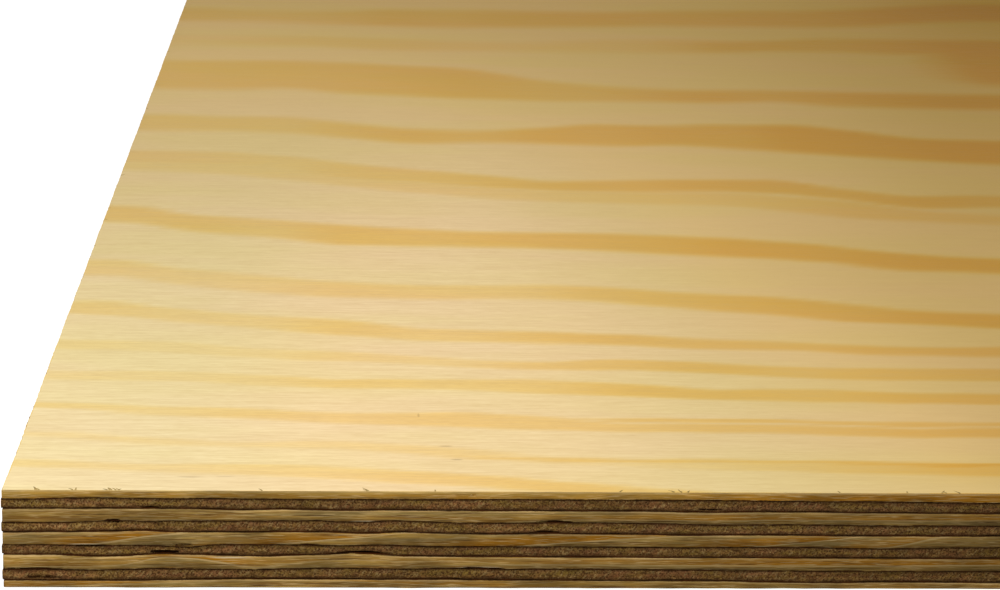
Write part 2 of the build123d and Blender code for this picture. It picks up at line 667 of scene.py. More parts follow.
def finished_object(bm: Mesh, name: str) -> bpy.types.Object:
    """Turns a bmesh into an object of the scene, smooth but for its sharp edges.

    Args:
        bm: the mesh, which is freed.
        name: the object's name.

    Returns:
        The new object.
    """
    mesh = bpy.data.meshes.new(name)
    bm.to_mesh(mesh)
    bm.free()
    mesh.polygons.foreach_set("use_smooth", [True] * len(mesh.polygons))
    mesh.set_sharp_from_angle(angle=SHARP_TURN)
    piece = bpy.data.objects.new(name, mesh)
    bpy.context.scene.collection.objects.link(piece)
    return piece


def draw_out(bm: Mesh, edges: list[Edge]) -> tuple[list[Vert], list[Edge]]:
    """Extrudes a loop of edges onto itself.

    Args:
        bm: the mesh.
        edges: the loop.

    Returns:
        The vertices and the edges of the new loop.
    """
    made = bmesh.ops.extrude_edge_only(bm, edges=edges)["geom"]
    verts = {item for item in made if isinstance(item, Vert)}
    return list(verts), [item for item in made if isinstance(item, Edge) and set(item.verts) <= verts]


@dataclass(kw_only=True)
class Layer:
    """One layer of the sheet, a closed mesh whose walls are drawn out from level to level.

    Attributes:
        node: the CAD node it stands for.
        lay_up: where it meets its neighbours.
        pitch: spacing of the columns of its edges.
        corner_pitch: their spacing at the left end of the front edge.
        corner: how far that end reaches.
        cells: how many cells its hidden sides have along and across.
        cell_inset: how far the border of those cells stands in from the outline.
    """

    node: str
    lay_up: LayUp
    pitch: float
    corner_pitch: float
    corner: float = 270 * MM
    cells: tuple[int, int] = (20, 10)
    cell_inset: float = 40 * MM
    attributes: ClassVar[tuple[str, ...]] = ()
    ending: ClassVar[str]

    def __post_init__(self) -> None:
        """Takes the layer's box from the frame."""
        self.low, self.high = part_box(self.node)
        self.half = (self.high - self.low) / 2

    def levels(self) -> list[Level]:
        """The lines round the layer, from its upper side to well inside its lower."""
        raise NotImplementedError

    def place(self, vert: Vert, level: Level) -> None:
        """Moves a vertex to its place on a level."""
        raise NotImplementedError

    def mark(self, vert: Vert, level: Level, layers: bmesh.types.BMLayerCollection) -> None:
        """Writes what the finish reads at a vertex into the mesh's attributes."""

    def assign_sides(self, bm: Mesh) -> None:
        """Gives each face its material slot."""

    def reach(self, vert: Vert) -> float:
        """How far out a vertex stands, from 0 in the middle of the sheet to 1 on the outline."""
        return max(abs(vert.co.x) / self.half.x, abs(vert.co.y) / self.half.y)

    def outward(self, vert: Vert) -> Point:
        """The place on the outline that a vertex lies before, as seen from the middle."""
        reach = self.reach(vert)
        return vert.co.x / reach, vert.co.y / reach

    def stand(self, vert: Vert, x: float, y: float, inward: float, height: float) -> None:
        """Stands a vertex at a distance in from a place on the outline, at a height."""
        vert.co = Vector((x * (1 - inward / self.half.x), y * (1 - inward / self.half.y), height))

    def outline(self) -> Mesh:
        """Draws the outline, divided evenly but for a finer front left end.

        Returns:
            A mesh that holds only the outline.
        """
        bm, half = bmesh.new(), self.half
        signs = ((-1, -1), (1, -1), (1, 1), (-1, 1))
        ends = [bm.verts.new((half.x * a, half.y * b, 0)) for a, b in signs]
        sides = [bm.edges.new((ends[i - 1], ends[i])) for i in range(4)]
        fine = round(self.corner / self.corner_pitch)
        for side in sides:
            length = side.calc_length()
            is_front = max(end.co.y for end in side.verts) < 0
            cuts = round((length - self.corner * is_front) / self.pitch) + fine * is_front
            made = bmesh.ops.subdivide_edges(bm, edges=[side], cuts=cuts - 1)["geom_inner"]
            if is_front:
                shares, places = (0, fine / cuts, 1), (0, self.corner, length)
                for vert in (item for item in made if isinstance(item, Vert)):
                    place = vert.co.x / (2 * half.x) + 0.5
                    vert.co.x = float(np.interp(place, shares, places)) - half.x
        return bm

    def close(self, bm: Mesh, edges: list[Edge]) -> None:
        """Closes the outline of a hidden side with a coarse level grid.

        Args:
            bm: the mesh.
            edges: the outline.
        """
        verts, _ = draw_out(bm, edges)
        for vert in verts:
            reach = self.reach(vert)
            for axis, (count, half) in enumerate(zip(self.cells, self.half)):
                share = (vert.co[axis] / reach / half + 1) / 2
                vert.co[axis] = (2 * round(share * count) / count - 1) * (half - self.cell_inset)
        bmesh.ops.remove_doubles(bm, verts=verts, dist=MM)
        verts = [vert for vert in verts if vert.is_valid]
        border = {edge for vert in verts for edge in vert.link_edges if edge.is_boundary}
        long_sides = [edge for edge in border if abs(edge.verts[0].co.y - edge.verts[1].co.y) < MM]
        bmesh.ops.grid_fill(bm, edges=long_sides)

    def add_layers(self, bm: Mesh) -> None:
        """Adds the attributes that the finishes read."""
        for name in self.attributes:
            bm.verts.layers.float.new(name)

    def start(self) -> tuple[Mesh, list[Edge]]:
        """Makes the upper side.

        Returns:
            The mesh, already closed there, and the edges that the walls are drawn from.
        """
        bm = self.outline()
        self.add_layers(bm)
        for vert in bm.verts:
            self.place(vert, Level(self.lay_up.reach, 1.0))
        edges = bm.edges[:]
        self.close(bm, edges)
        return bm, edges

    def build(self) -> bpy.types.Object:
        """Makes the layer's mesh and its object.

        Returns:
            The object, at the origin, with its place in its mesh.
        """
        bm, edges = self.start()
        verts = list({vert for edge in edges for vert in edge.verts})
        for number, level in enumerate(self.levels()):
            if number:
                verts, edges = draw_out(bm, edges)
            for vert in verts:
                self.place(vert, level)
                self.mark(vert, level, bm.verts.layers.float)
        self.close(bm, edges)
        bmesh.ops.recalc_face_normals(bm, faces=bm.faces)
        self.assign_sides(bm)
        return finished_object(bm, self.node + self.ending)


@dataclass(kw_only=True)
class Ply(Layer):
    """One veneer of the sheet, with sawn edges.

    Attributes:
        slot: the record's material slot.
        grain: the way its fibres run.
        figure: the growth rings on its sawn edges.
        rim: how far its rims are worn back.
        tear: how far torn end grain stands behind the outline at most.
    """

    slot: str
    grain: Grain
    figure: SawnFigure
    pitch: float = 3.4 * MM
    corner_pitch: float = 0.7 * MM
    rim: float = 0.13 * MM
    tear: float = 0.30 * MM
    attributes = ("ring", "late", "tone", "from_upper", "from_lower", "hollow", "lighter")
    ending = "_sawn"

    def levels(self) -> list[Level]:
        """The lines round the ply: its worn upper rim, its sawn edge and its worn lower rim."""
        inside = self.lay_up.reach
        upper = [Level(inside, 1.0), Level(0.8 * self.rim, 1.0), Level(0.2 * self.rim, 0.94)]
        edge = [Level(0.0, rise) for rise in (0.84, 0.66, 0.48, 0.30, 0.16)]
        return [*upper, *edge, Level(0.35 * self.rim, 0.06), Level(self.rim, 0.0), Level(inside, 0.0)]

    def torn(self, x: float, y: float, z: float, on_long_edge: bool) -> float:
        """How far the saw has torn the edge back.

        Args:
            x: place along the sheet.
            y: place across it.
            z: height.
            on_long_edge: whether the place is on a long edge, and not on a short one.

        Returns:
            The distance, in metres.
        """
        if on_long_edge == (self.grain is Grain.ACROSS):
            rough = abs(wave(x, y, 3.4, z / (0.6 * MM))) ** 0.7
            broad = 0.5 + 0.5 * wave(x, y, 21, z / (4 * MM) + 5)
            back = self.tear * (0.65 * rough + 0.45 * broad)
        else:
            back = 0.05 * MM * (1 + wave(x, y, 9, z / (1.1 * MM) + 9))
        if on_long_edge and y < 0:
            back += self.chipped(x, z) * MM
        elif x < 0:
            back *= min(1.0, (y - CORNER.y) / (25 * MM))
        return max(0.0, back)

    @staticmethod
    def chipped(x: float, z: float) -> float:
        """How deep the deepest chip of the front edge is at a place, in mm."""
        return max(chip.at((x - CORNER.x) / MM, z / MM) for chip in FRONT_CHIPS)

    def place(self, vert: Vert, level: Level) -> None:
        """Moves a vertex to its place on a level.

        Args:
            vert: the vertex, anywhere on the line from the middle of the sheet to its place.
            level: the level.
        """
        x, y = self.outward(vert)
        on_long_edge = abs(y) / self.half.y >= abs(x) / self.half.x
        uneven = 1 - min(1.0, level.setback / self.lay_up.reach)
        low, high = (z + uneven * self.lay_up.stray(z, x, y) for z in (self.low.z, self.high.z))
        height, inward = low + (high - low) * level.rise, level.setback
        if uneven:
            worn = 0.7 * wave(x, y, 6, height / MM) + 0.6 * wave(x, y, 24, height / MM)
            inward = max(0.0, inward * (1 + worn)) + self.torn(x, y, height, on_long_edge)
        self.stand(vert, x, y, inward, height)

    def mark(self, vert: Vert, level: Level, layers: bmesh.types.BMLayerCollection) -> None:
        """Writes a vertex's growth ring and its distances from the glue into the attributes.

        Args:
            vert: the vertex.
            level: its level.
            layers: the mesh's attributes.
        """
        half = self.half
        on_long_edge = abs(vert.co.y) / half.y >= abs(vert.co.x) / half.x
        along = ((vert.co.x + half.x) if on_long_edge else (vert.co.y + half.y)) / MM
        front = on_long_edge and vert.co.y < 0
        thickness = (self.high.z - self.low.z) / MM
        # The chip's depth, which the finishes darken as painted shade in its hollow
        if front and level.setback < self.lay_up.reach:
            vert[layers["hollow"]] = self.chipped(vert.co.x, vert.co.z)
        vert[layers["ring"]] = self.figure.number(along, 1 - level.rise, front)
        vert[layers["late"]] = self.figure.strength(along, front)
        # How much lighter the ply is, partly its own tone and partly painted shade towards the right end of
        # the corner
        vert[layers["lighter"]] = self.figure.lightness_and_painted_falloff(along, front)
        vert[layers["from_upper"]] = (1 - level.rise) * thickness
        vert[layers["from_lower"]] = level.rise * thickness

    def assign_sides(self, bm: Mesh) -> None:
        """Gives each sawn face the material slot of the edge that it belongs to.

        Args:
            bm: the finished mesh.
        """
        for face in bm.faces:
            normal = face.normal
            if not self.is_sanded(normal):
                at_end = abs(normal.x) > abs(normal.y) and abs(normal.z) < LEVEL_NORMAL
                face.material_index = (Side.SHORT_EDGE if at_end else Side.LONG_EDGE).value

    def is_sanded(self, normal: Vector) -> bool:
        """Whether a face that looks this way is part of a sanded side."""
        return False


@dataclass(kw_only=True)
class OuterVeneer(Ply):
    """A veneer whose sanded side shows, with its growth rings on a grid.

    Attributes:
        sanded: the growth rings of its sanded side.
        upper: whether it is the good face, and not the back.
        sanding: how far the sanded side lies inside the CAD box, so that loose fibres can lie on it.
        arris: width of the worn edge of the sanded side.
        columns: places along the sheet, from its left end, against the share of the grid's columns.
        rows: the same across the sheet, from its front edge.
        counts: how many columns and rows the grid has.
        far: a distance from the glue at which none of it shows, in mm.
    """

    sanded: RotaryFigure
    upper: bool = True
    sanding: float = 0.05 * MM
    arris: float = 0.22 * MM
    columns: tuple[Point, ...] = ((0, 0), (0.44, 430), (1, 2440))
    rows: tuple[Point, ...] = ((0, 0), (0.29, 170), (0.52, 400), (0.79, 820), (1, 1220))
    counts: tuple[int, int] = (165, 370)
    far: float = 9.0

    def levels(self) -> list[Level]:
        """The lines round the veneer, from its sanded side's arris to well inside its glued side."""
        levels = [Level(self.arris, 1.0), Level(0.03 * MM, 0.95), *super().levels()[3:]]
        return levels if self.upper else [Level(level.setback, 1 - level.rise) for level in levels]

    def start(self) -> tuple[Mesh, list[Edge]]:
        """Makes the sanded side as a grid, finer near the front left corner.

        Returns:
            The mesh, and the border of the grid.
        """
        bm = bmesh.new()
        bmesh.ops.create_grid(bm, x_segments=self.counts[0], y_segments=self.counts[1], size=0.5)
        for vert in bm.verts:
            for axis, places in enumerate((self.columns, self.rows)):
                share = float(np.interp(vert.co[axis] + 0.5, *zip(*places))) / places[-1][1] - 0.5
                vert.co[axis] = 2 * share * (self.half[axis] - self.arris)
        for axis, cuts in ((1, 5), (0, 1)):
            border = (edge for edge in bm.edges if edge.is_boundary)
            side = [edge for edge in border if edge.verts[0].co[axis] == edge.verts[1].co[axis]]
            bmesh.ops.subdivide_edges(bm, edges=side, cuts=cuts)
        self.add_layers(bm)
        self.mark_sanded(bm)
        return bm, [edge for edge in bm.edges if edge.is_boundary]

    def mark_sanded(self, bm: Mesh) -> None:
        """Sets the height of the sanded side and writes its growth rings and tone.

        Args:
            bm: the mesh, which holds only the sanded side.
        """
        layers, verts = bm.verts.layers.float, list(bm.verts)
        height = self.high.z - self.sanding if self.upper else self.low.z
        places = (np.array([vert.co.xy for vert in verts]) - np.array(CORNER.xy)).T / MM
        late, tone = self.sanded.late(*places), self.sanded.tone(*places)
        for vert, depth, gold in zip(verts, late, tone):
            vert.co.z = height
            vert[layers["late"]], vert[layers["tone"]] = depth, gold
            vert[layers["from_upper"]] = vert[layers["from_lower"]] = self.far

    def place(self, vert: Vert, level: Level) -> None:
        """Moves a vertex as any ply does, with the sanded side a hair inside the CAD box."""
        super().place(vert, level)
        if self.upper:
            vert.co.z = min(vert.co.z, self.high.z - self.sanding)

    def is_sanded(self, normal: Vector) -> bool:
        """Whether a face looks up on the good face, or down on the back."""
        return (normal.z if self.upper else -normal.z) > LEVEL_NORMAL

    def mark(self, vert: Vert, level: Level, layers: bmesh.types.BMLayerCollection) -> None:
        """Marks the sawn edge, which has glue on one side only, but not the sanded side's border.

        Args:
            vert: the vertex.
            level: its level.
            layers: the mesh's attributes.
        """
        if level.setback != self.arris:
            super().mark(vert, level, layers)
            vert[layers["from_upper" if self.upper else "from_lower"]] = self.far


@dataclass(kw_only=True)
class GlueLine(Layer):
    """The film of glue between two plies, chipped back behind their sawn edges.

    Attributes:
        chip: how far the deepest chips go back.
        bead: how far the glue that was pressed out stands before its outline between the chips.
    """

    pitch: float = 5.0 * MM
    corner_pitch: float = 1.4 * MM
    chip: float = 0.75 * MM
    bead: float = 0.32 * MM
    ending = "_film"

    def levels(self) -> list[Level]:
        """The lines round the film: both rims, and a line well inside its lower side."""
        return [Level(0, 1), Level(0, 0), Level(self.lay_up.reach, 0)]

    def start(self) -> tuple[Mesh, list[Edge]]:
        """Makes the upper side.

        Returns:
            The mesh, already closed there, and the edges of its rim, drawn out of it.
        """
        bm, edges = super().start()
        return bm, draw_out(bm, edges)[1]

    def place(self, vert: Vert, level: Level) -> None:
        """Moves a vertex to its place on a level, between the film's two sides.

        Args:
            vert: the vertex, anywhere on the line from the middle of the sheet to its place.
            level: the level.
        """
        x, y = self.outward(vert)
        height, inward = self.high.z if level.rise else self.low.z, level.setback
        if level.setback < self.lay_up.reach:
            height += self.lay_up.stray(height, x, y)
            inward += self.chip * abs(wave(x, y, 6, self.low.z / MM)) - self.bead
        self.stand(vert, x, y, inward, height)


@dataclass(frozen=True)
class Fibre:
    """One loose fibre on the good face.

    Attributes:
        along: where it is rooted, in mm from the front left corner, at the front edge.
        length: in mm.
        turn: the way it sets out, in degrees from the sheet's length.
        bend: how far it turns on its way, in degrees.
    """

    along: float
    length: float
    turn: float
    bend: float


@dataclass
class TornFibres:
    """Fibres that the saw raised along the arris of the good face, lying over on the face.

    Attributes:
        placed: those of the front left corner.
        count: how many more lie round the rest of the sheet.
        width: width of a fibre at its root.
        thickness: its thickness.
        arch: how far it rises on its way.
        depth: how far its root lies below the top of the CAD box.
        inset: how far in from the outline it is rooted.
    """

    placed: tuple[Fibre, ...] = (
        Fibre(8.2, 3.3, 112, 10), Fibre(7.8, 2.7, 104, -12), Fibre(8.7, 2.0, 120, 20),
        Fibre(16.4, 2.1, 120, 30), Fibre(17.0, 2.2, 85, 10), Fibre(26.4, 2.5, 120, 12),
        Fibre(25.4, 2.8, 110, 25), Fibre(27.2, 2.2, 128, -10), Fibre(24.9, 1.8, 100, 30),
        Fibre(26.9, 1.6, 70, -30), Fibre(24.4, 1.9, 135, 20), Fibre(60.1, 2.0, 110, 30),
        Fibre(84.9, 3.5, 120, 5), Fibre(84.6, 2.0, 128, 10), Fibre(100.4, 1.5, 80, 30),
        Fibre(143.7, 2.0, 70, -30), Fibre(156.5, 2.3, 120, 40), Fibre(158.3, 2.7, 130, -60),
        Fibre(159.6, 1.7, 50, 30), Fibre(195.7, 1.7, 100, 20), Fibre(211.7, 1.7, 75, 30),
        Fibre(219.9, 2.6, 50, 30), Fibre(221.1, 2.0, 125, -20), Fibre(224.3, 2.8, 128, -15),
    )
    count: int = 110
    width: float = 0.44 * MM
    thickness: float = 0.015 * MM
    arch: float = 0.05 * MM
    depth: float = 0.075 * MM
    inset: float = 0.18 * MM

    def strip(self, bm: Mesh, fibre: Fibre, root: tuple[float, float, float], facing: float) -> None:
        """Adds one fibre to the mesh.

        Args:
            bm: the mesh.
            fibre: its length and bend.
            root: where it is rooted.
            facing: the angle of the edge that it is rooted on, counter-clockwise from X.
        """
        verts = bmesh.ops.create_grid(bm, x_segments=6, y_segments=1, size=0.5)["verts"]
        start, bend = math.radians(fibre.turn) + facing, math.radians(fibre.bend)
        for vert in verts:
            share, side = vert.co.x + 0.5, 2 * vert.co.y
            chord, middle = fibre.length * MM * share, start + bend * share / 2
            width, across = self.width / 2 * (1 - 0.8 * share) * side, start + bend * share + math.pi / 2
            vert.co = Vector(root) + Vector((
                chord * math.cos(middle) + width * math.cos(across),
                chord * math.sin(middle) + width * math.sin(across),
                self.arch * math.sin(math.pi * min(1.0, 0.15 + share)),
            ))
        faces = list({face for vert in verts for face in vert.link_faces})
        bmesh.ops.solidify(bm, geom=faces, thickness=-self.thickness)

    def build(self) -> bpy.types.Object:
        """Makes all the fibres as one mesh.

        Returns:
            The object.
        """
        bm = bmesh.new()
        low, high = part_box("face_veneer")
        height = high.z - self.depth
        for fibre in self.placed:
            self.strip(bm, fibre, (low.x + fibre.along * MM, low.y + self.inset, height), 0.0)
        for number in range(self.count):
            place, odd = 0.5 + 0.5 * math.sin(7.13 * number), number % 2
            spread = ripple(number * 0.73, 0.2, 3.0)
            fibre = Fibre(0, 1.8 + 1.2 * spread, 90 + 40 * math.sin(3.3 * number), 40 * spread)
            if number % 3:
                facing = 0.0 if odd else math.pi
                x = (low.x + 250 * MM) * (1 - place) + place * (high.x - 10 * MM)
                y = low.y + self.inset if odd else high.y - self.inset
            else:
                facing = -math.pi / 2 if odd else math.pi / 2
                x = low.x + self.inset if odd else high.x - self.inset
                y = (low.y + 240 * MM) * (1 - place) + place * (high.y - 10 * MM)
            self.strip(bm, fibre, (x, y, height), facing)
        bmesh.ops.recalc_face_normals(bm, faces=bm.faces)
        return finished_object(bm, "torn_fibres")


class Graph:
    """Short ways to add and join the nodes of a material or a node group."""

    def __init__(self, tree: bpy.types.NodeTree) -> None:
        """Takes the tree that the nodes go into."""
        self.tree = tree

    def add(self, kind: str, inputs: Inputs | None = None, **settings: Setting) -> Node:
        """Adds one node.

        Args:
            kind: the node's type.
            inputs: what its sockets hold or are linked to, by name or number.
            settings: the node's own properties.

        Returns:
            The node.
        """
        node = self.tree.nodes.new(kind)
        for name, value in settings.items():
            setattr(node, name, value)
        self.feed(node, inputs or {})
        return node

    def feed(self, node: Node, inputs: Inputs) -> None:
        """Links sockets of a node, or sets them to plain values.

        Args:
            node: the node.
            inputs: what its sockets take, by name or number.
        """
        for name, value in inputs.items():
            socket = node.inputs[name]
            if isinstance(value, Socket):
                self.tree.links.new(value, socket)
            elif socket.type == "RGBA" and not isinstance(value, (int, float)):
                socket.default_value = (*value, 1.0)
            else:
                socket.default_value = value

    def math(self, operation: str, *values: Value, clamp: bool = False) -> Socket:
        """One sum of numbers that change over the surface."""
        inputs = dict(enumerate(values))
        return self.add("ShaderNodeMath", inputs, operation=operation, use_clamp=clamp).outputs[0]

    def product(self, first: Value, *others: Value) -> Socket:
        """Numbers that change over the surface, all multiplied."""
        for other in others:
            first = self.math("MULTIPLY", first, other)
        return first

    def vector(self, operation: str, *values: Tint) -> Socket:
        """One sum of vectors, which gives a vector, or a number if it is their length."""
        node = self.add("ShaderNodeVectorMath", dict(enumerate(values)), operation=operation)
        return node.outputs["Value" if operation == "LENGTH" else "Vector"]

    def mix(self, factor: Value, first: Tint, second: Tint, blend: str = "MIX") -> Socket:
        """Two colours mixed."""
        inputs = {0: factor, 6: first, 7: second}
        return self.add("ShaderNodeMix", inputs, data_type="RGBA", blend_type=blend).outputs[2]

    def tint(self, colour: Tint, by: Tint) -> Socket:
        """A colour multiplied by another, or by a number."""
        return self.mix(1.0, colour, by, "MULTIPLY")

    def powers(self, bases: Sequence[Value], exponents: Sequence[Value]) -> Socket:
        """A colour whose red, green and blue are numbers, each raised to a power."""
        parts = [self.math("POWER", *pair) for pair in zip(bases, exponents)]
        return self.add("ShaderNodeCombineColor", dict(enumerate(parts))).outputs[0]

    def noise(self, place: Socket, scale: Value | Colour, detail: float, rough: float) -> Socket:
        """Smooth noise from 0 to 1, finer the larger its scale, which may be one for each axis."""
        if isinstance(scale, tuple):
            place, scale = self.vector("MULTIPLY", place, scale), 1.0
        inputs = {"Vector": place, "Scale": scale, "Detail": detail, "Roughness": rough}
        return self.add("ShaderNodeTexNoise", inputs).outputs[0]

    def band(self, value: Value, low: float, high: float, at_low: float = 0, at_high: float = 1) -> Socket:
        """A smooth step between two values."""
        inputs = {"Value": value, "From Min": low, "From Max": high, "To Min": at_low, "To Max": at_high}
        return self.add("ShaderNodeMapRange", inputs, interpolation_type="SMOOTHSTEP").outputs[0]

    def ramp(self, value: Value, low: float, high: float) -> Socket:
        """A straight rise from 0 to 1 between two values."""
        inputs = {"Value": value, "From Min": low, "From Max": high}
        return self.add("ShaderNodeMapRange", inputs).outputs[0]

    def attribute(self, name: str) -> Socket:
        """A number that the mesh holds at its vertices."""
        return self.add("ShaderNodeAttribute", attribute_name=name).outputs["Fac"]

    def turned(self, place: Socket, *turns: float) -> Socket:
        """Places turned about X, Y and Z."""
        return self.add("ShaderNodeMapping", {"Vector": place, "Rotation": turns}).outputs[0]

    def place(self, grain: Grain = Grain.ALONG) -> Socket:
        """Object coordinates, turned so that the fibres run along X."""
        coordinates = self.add("ShaderNodeTexCoord").outputs["Object"]
        return coordinates if grain is Grain.ALONG else self.turned(coordinates, 0.0, 0.0, grain.value)

    def group(self, tree: bpy.types.NodeTree, inputs: Inputs) -> dict[str, Socket]:
        """Places a node group and gives its outputs by name."""
        node = self.add("ShaderNodeGroup", inputs, node_tree=tree)
        return {socket.name: socket for socket in node.outputs}


def empty_graph(owner: bpy.types.Material | bpy.types.World) -> Graph:
    """Switches a material or a world to nodes, with none in it yet."""
    owner.use_nodes = True
    owner.node_tree.nodes.clear()
    return Graph(owner.node_tree)


class EffectGroups:
    """The node groups that more than one finish uses, each built once."""

    def __init__(self) -> None:
        """Builds the groups."""
        rings = {"Ring": 0.0, "Before": 0.2, "After": 0.2, "Depth": 1.0}
        glue = {"From upper": 9.0, "From lower": 9.0, "Upper reach": 0.15, "Lower reach": 0.3, "Hollow": 0.0}
        self.late_wood = self.build("late_wood", rings, self.draw_late_wood)
        self.fibres = self.build("fibres", {"Length": 30.0, "Width": 0.5}, self.draw_fibres)
        self.end_grain = self.build("end_grain", {"Cell": 0.4}, self.draw_end_grain)
        self.glue_stain = self.build("glue_stain", glue, self.draw_glue_stain_and_painted_shade)

    @staticmethod
    def build(
        name: str, inputs: dict[str, float], draw: Callable[[Graph, dict[str, Socket]], dict[str, Socket]]
    ) -> bpy.types.NodeTree:
        """Makes one node group. Each has a Vector input beside its numbers.

        Args:
            name: the group's name.
            inputs: its numbers and what they are by default.
            draw: fills the group and returns its outputs, all of them numbers.

        Returns:
            The group.
        """
        tree = bpy.data.node_groups.new(name, "ShaderNodeTree")
        tree.interface.new_socket("Vector", in_out="INPUT", socket_type="NodeSocketVector")
        for label, value in inputs.items():
            socket = tree.interface.new_socket(label, in_out="INPUT", socket_type="NodeSocketFloat")
            socket.default_value = value
        graph = Graph(tree)
        entry = graph.add("NodeGroupInput")
        made = draw(graph, {socket.name: socket for socket in entry.outputs if socket.name})
        for label in made:
            tree.interface.new_socket(label, in_out="OUTPUT", socket_type="NodeSocketFloat")
        graph.add("NodeGroupOutput", made)
        return tree

    @staticmethod
    def draw_late_wood(graph: Graph, given: dict[str, Socket]) -> dict[str, Socket]:
        """Late wood round each whole ring number, fading out before and after it."""
        shifted = graph.math("ADD", given["Ring"], 0.5)
        offset = graph.math("SUBTRACT", graph.math("FRACT", shifted), 0.5)
        after = graph.math("DIVIDE", offset, given["After"])
        before = graph.math("DIVIDE", graph.math("MULTIPLY", offset, -1.0), given["Before"])
        inside = graph.band(graph.math("MAXIMUM", after, before), 0.0, 1.0, 1.0, 0.0)
        return {"Mask": graph.math("MULTIPLY", inside, given["Depth"], clamp=True)}

    @staticmethod
    def draw_fibres(graph: Graph, given: dict[str, Socket]) -> dict[str, Socket]:
        """Long fine streaks along X, and shorter single strands. Length and Width are in mm."""
        length, width = (graph.math("DIVIDE", 1 / MM, given[name]) for name in ("Length", "Width"))
        scale = graph.add("ShaderNodeCombineXYZ", {0: length, 1: width, 2: width}).outputs[0]
        drawn = graph.vector("MULTIPLY", given["Vector"], scale)
        strands = graph.noise(drawn, (4.0, 2.7, 2.7), 1.0, 0.5)
        return {"Streaks": graph.noise(drawn, 1.0, 3.0, 0.6), "Strands": strands}

    @staticmethod
    def draw_end_grain(graph: Graph, given: dict[str, Socket]) -> dict[str, Socket]:
        """Torn cell ends, the slanting marks of the saw and slow patches of tone."""
        place = given["Vector"]
        marks = graph.turned(place, 0.0, math.radians(-40), 0.0)
        return {
            "Pores": graph.noise(place, graph.math("DIVIDE", 1 / MM, given["Cell"]), 2.0, 0.7),
            "Hatching": graph.noise(marks, (2000.0, 900.0, 560.0), 2.0, 0.6),
            "Patches": graph.noise(place, (110.0, 110.0, 420.0), 3.0, 0.6),
        }

    @staticmethod
    def draw_glue_stain_and_painted_shade(graph: Graph, given: dict[str, Socket]) -> dict[str, Socket]:
        """A dark mask beside each glue line and in hollows: glue soaked into the wood, and painted shade in
        the hollows of chips and where a finish widens it. Distances are in mm.
        """
        uneven = graph.band(graph.noise(given["Vector"], 520.0, 4.0, 0.7), 0.3, 0.75, 0.35, 2.6)
        mask = graph.band(graph.math("MULTIPLY", given["Hollow"], uneven), 0.25, 0.8)
        for side in ("upper", "lower"):
            reach = graph.math("MULTIPLY", given[f"{side.capitalize()} reach"], uneven)
            share = graph.math("DIVIDE", given[f"From {side}"], reach)
            mask = graph.math("MAXIMUM", mask, graph.band(share, 0.35, 1.0, 1.0, 0.0))
        return {"Mask": mask}


@dataclass(frozen=True)
class Finish:
    """What every finish has: a name, and a Principled shader that it feeds.

    Attributes:
        name: the material's name.
        specular: how strongly its surface mirrors.
    """

    name: str
    specular: float = 0.1

    def make(self, groups: EffectGroups) -> bpy.types.Material:
        """Builds the material.

        Args:
            groups: the shared node groups.

        Returns:
            The material.
        """
        material = bpy.data.materials.new(self.name)
        graph = empty_graph(material)
        shader = graph.add("ShaderNodeBsdfPrincipled", {"Specular IOR Level": self.specular})
        graph.feed(shader, self.draw(graph, groups))
        graph.add("ShaderNodeOutputMaterial", {0: shader.outputs[0]})
        return material

    def draw(self, graph: Graph, groups: EffectGroups) -> Inputs:
        """Adds the nodes of the finish, each its own, and gives what the shader's sockets take."""
        raise NotImplementedError

    @staticmethod
    def surface(
        graph: Graph, colour: Socket, roughness: Value, relief: Socket, depth: float, strength: float
    ) -> Inputs:
        """What the shader's sockets take, for a surface with relief.

        Args:
            graph: the material's nodes.
            colour: the surface's colour.
            roughness: how dull it is.
            relief: its relief, from 0 to 1.
            depth: what a relief of 1 stands for.
            strength: how much of the relief shows.

        Returns:
            The inputs, by the names of their sockets.
        """
        inputs = {"Height": relief, "Distance": depth, "Strength": strength}
        normal = graph.add("ShaderNodeBump", inputs).outputs[0]
        return {"Base Color": colour, "Roughness": roughness, "Normal": normal}


@dataclass(frozen=True)
class Fleck:
    """A small mark on the good face or on the front edge.

    Attributes:
        along: its middle along the sheet, in mm from the front left corner.
        across: the same across the sheet, or up from the underside on the front edge.
        length: half of its length, in mm.
        width: half of its width, in mm.
        depth: how strong it is, from 0 to 1.
    """

    along: float
    across: float
    length: float
    width: float
    depth: float

    def mask(self, graph: Graph, place: Socket, axis: int) -> Socket:
        """Where the mark lies and how strong it is there.

        Args:
            graph: the material's nodes.
            place: Object coordinates.
            axis: 1 for a mark of the good face, 2 for one of the front edge.

        Returns:
            Its strength.
        """
        middle, scale = [0.0] * 3, [0.0] * 3
        for part, centre, half in ((0, self.along, self.length), (axis, self.across, self.width)):
            middle[part], scale[part] = CORNER[part] + centre * MM, 1 / (half * MM)
        away = graph.vector("MULTIPLY", graph.vector("SUBTRACT", place, tuple(middle)), tuple(scale))
        return graph.band(graph.vector("LENGTH", away), 1.0, 0.3, 0.0, self.depth)


FACE_FLECKS = (
    Fleck(43.0, 10.2, 4.0, 0.9, 0.24), Fleck(51.5, 10.6, 3.0, 0.8, 0.16),
    Fleck(104.3, 35.3, 2.3, 0.8, 0.30), Fleck(106.7, 24.5, 2.0, 0.8, 0.36),
    Fleck(98.3, 61.5, 0.4, 2.4, 0.28),
)
# Where a broad patch of painted light, a little warmer, lies across the good face
FACE_PAINTED_LIGHT = Fleck(105.0, 100.0, 78.0, 420.0, 0.85)
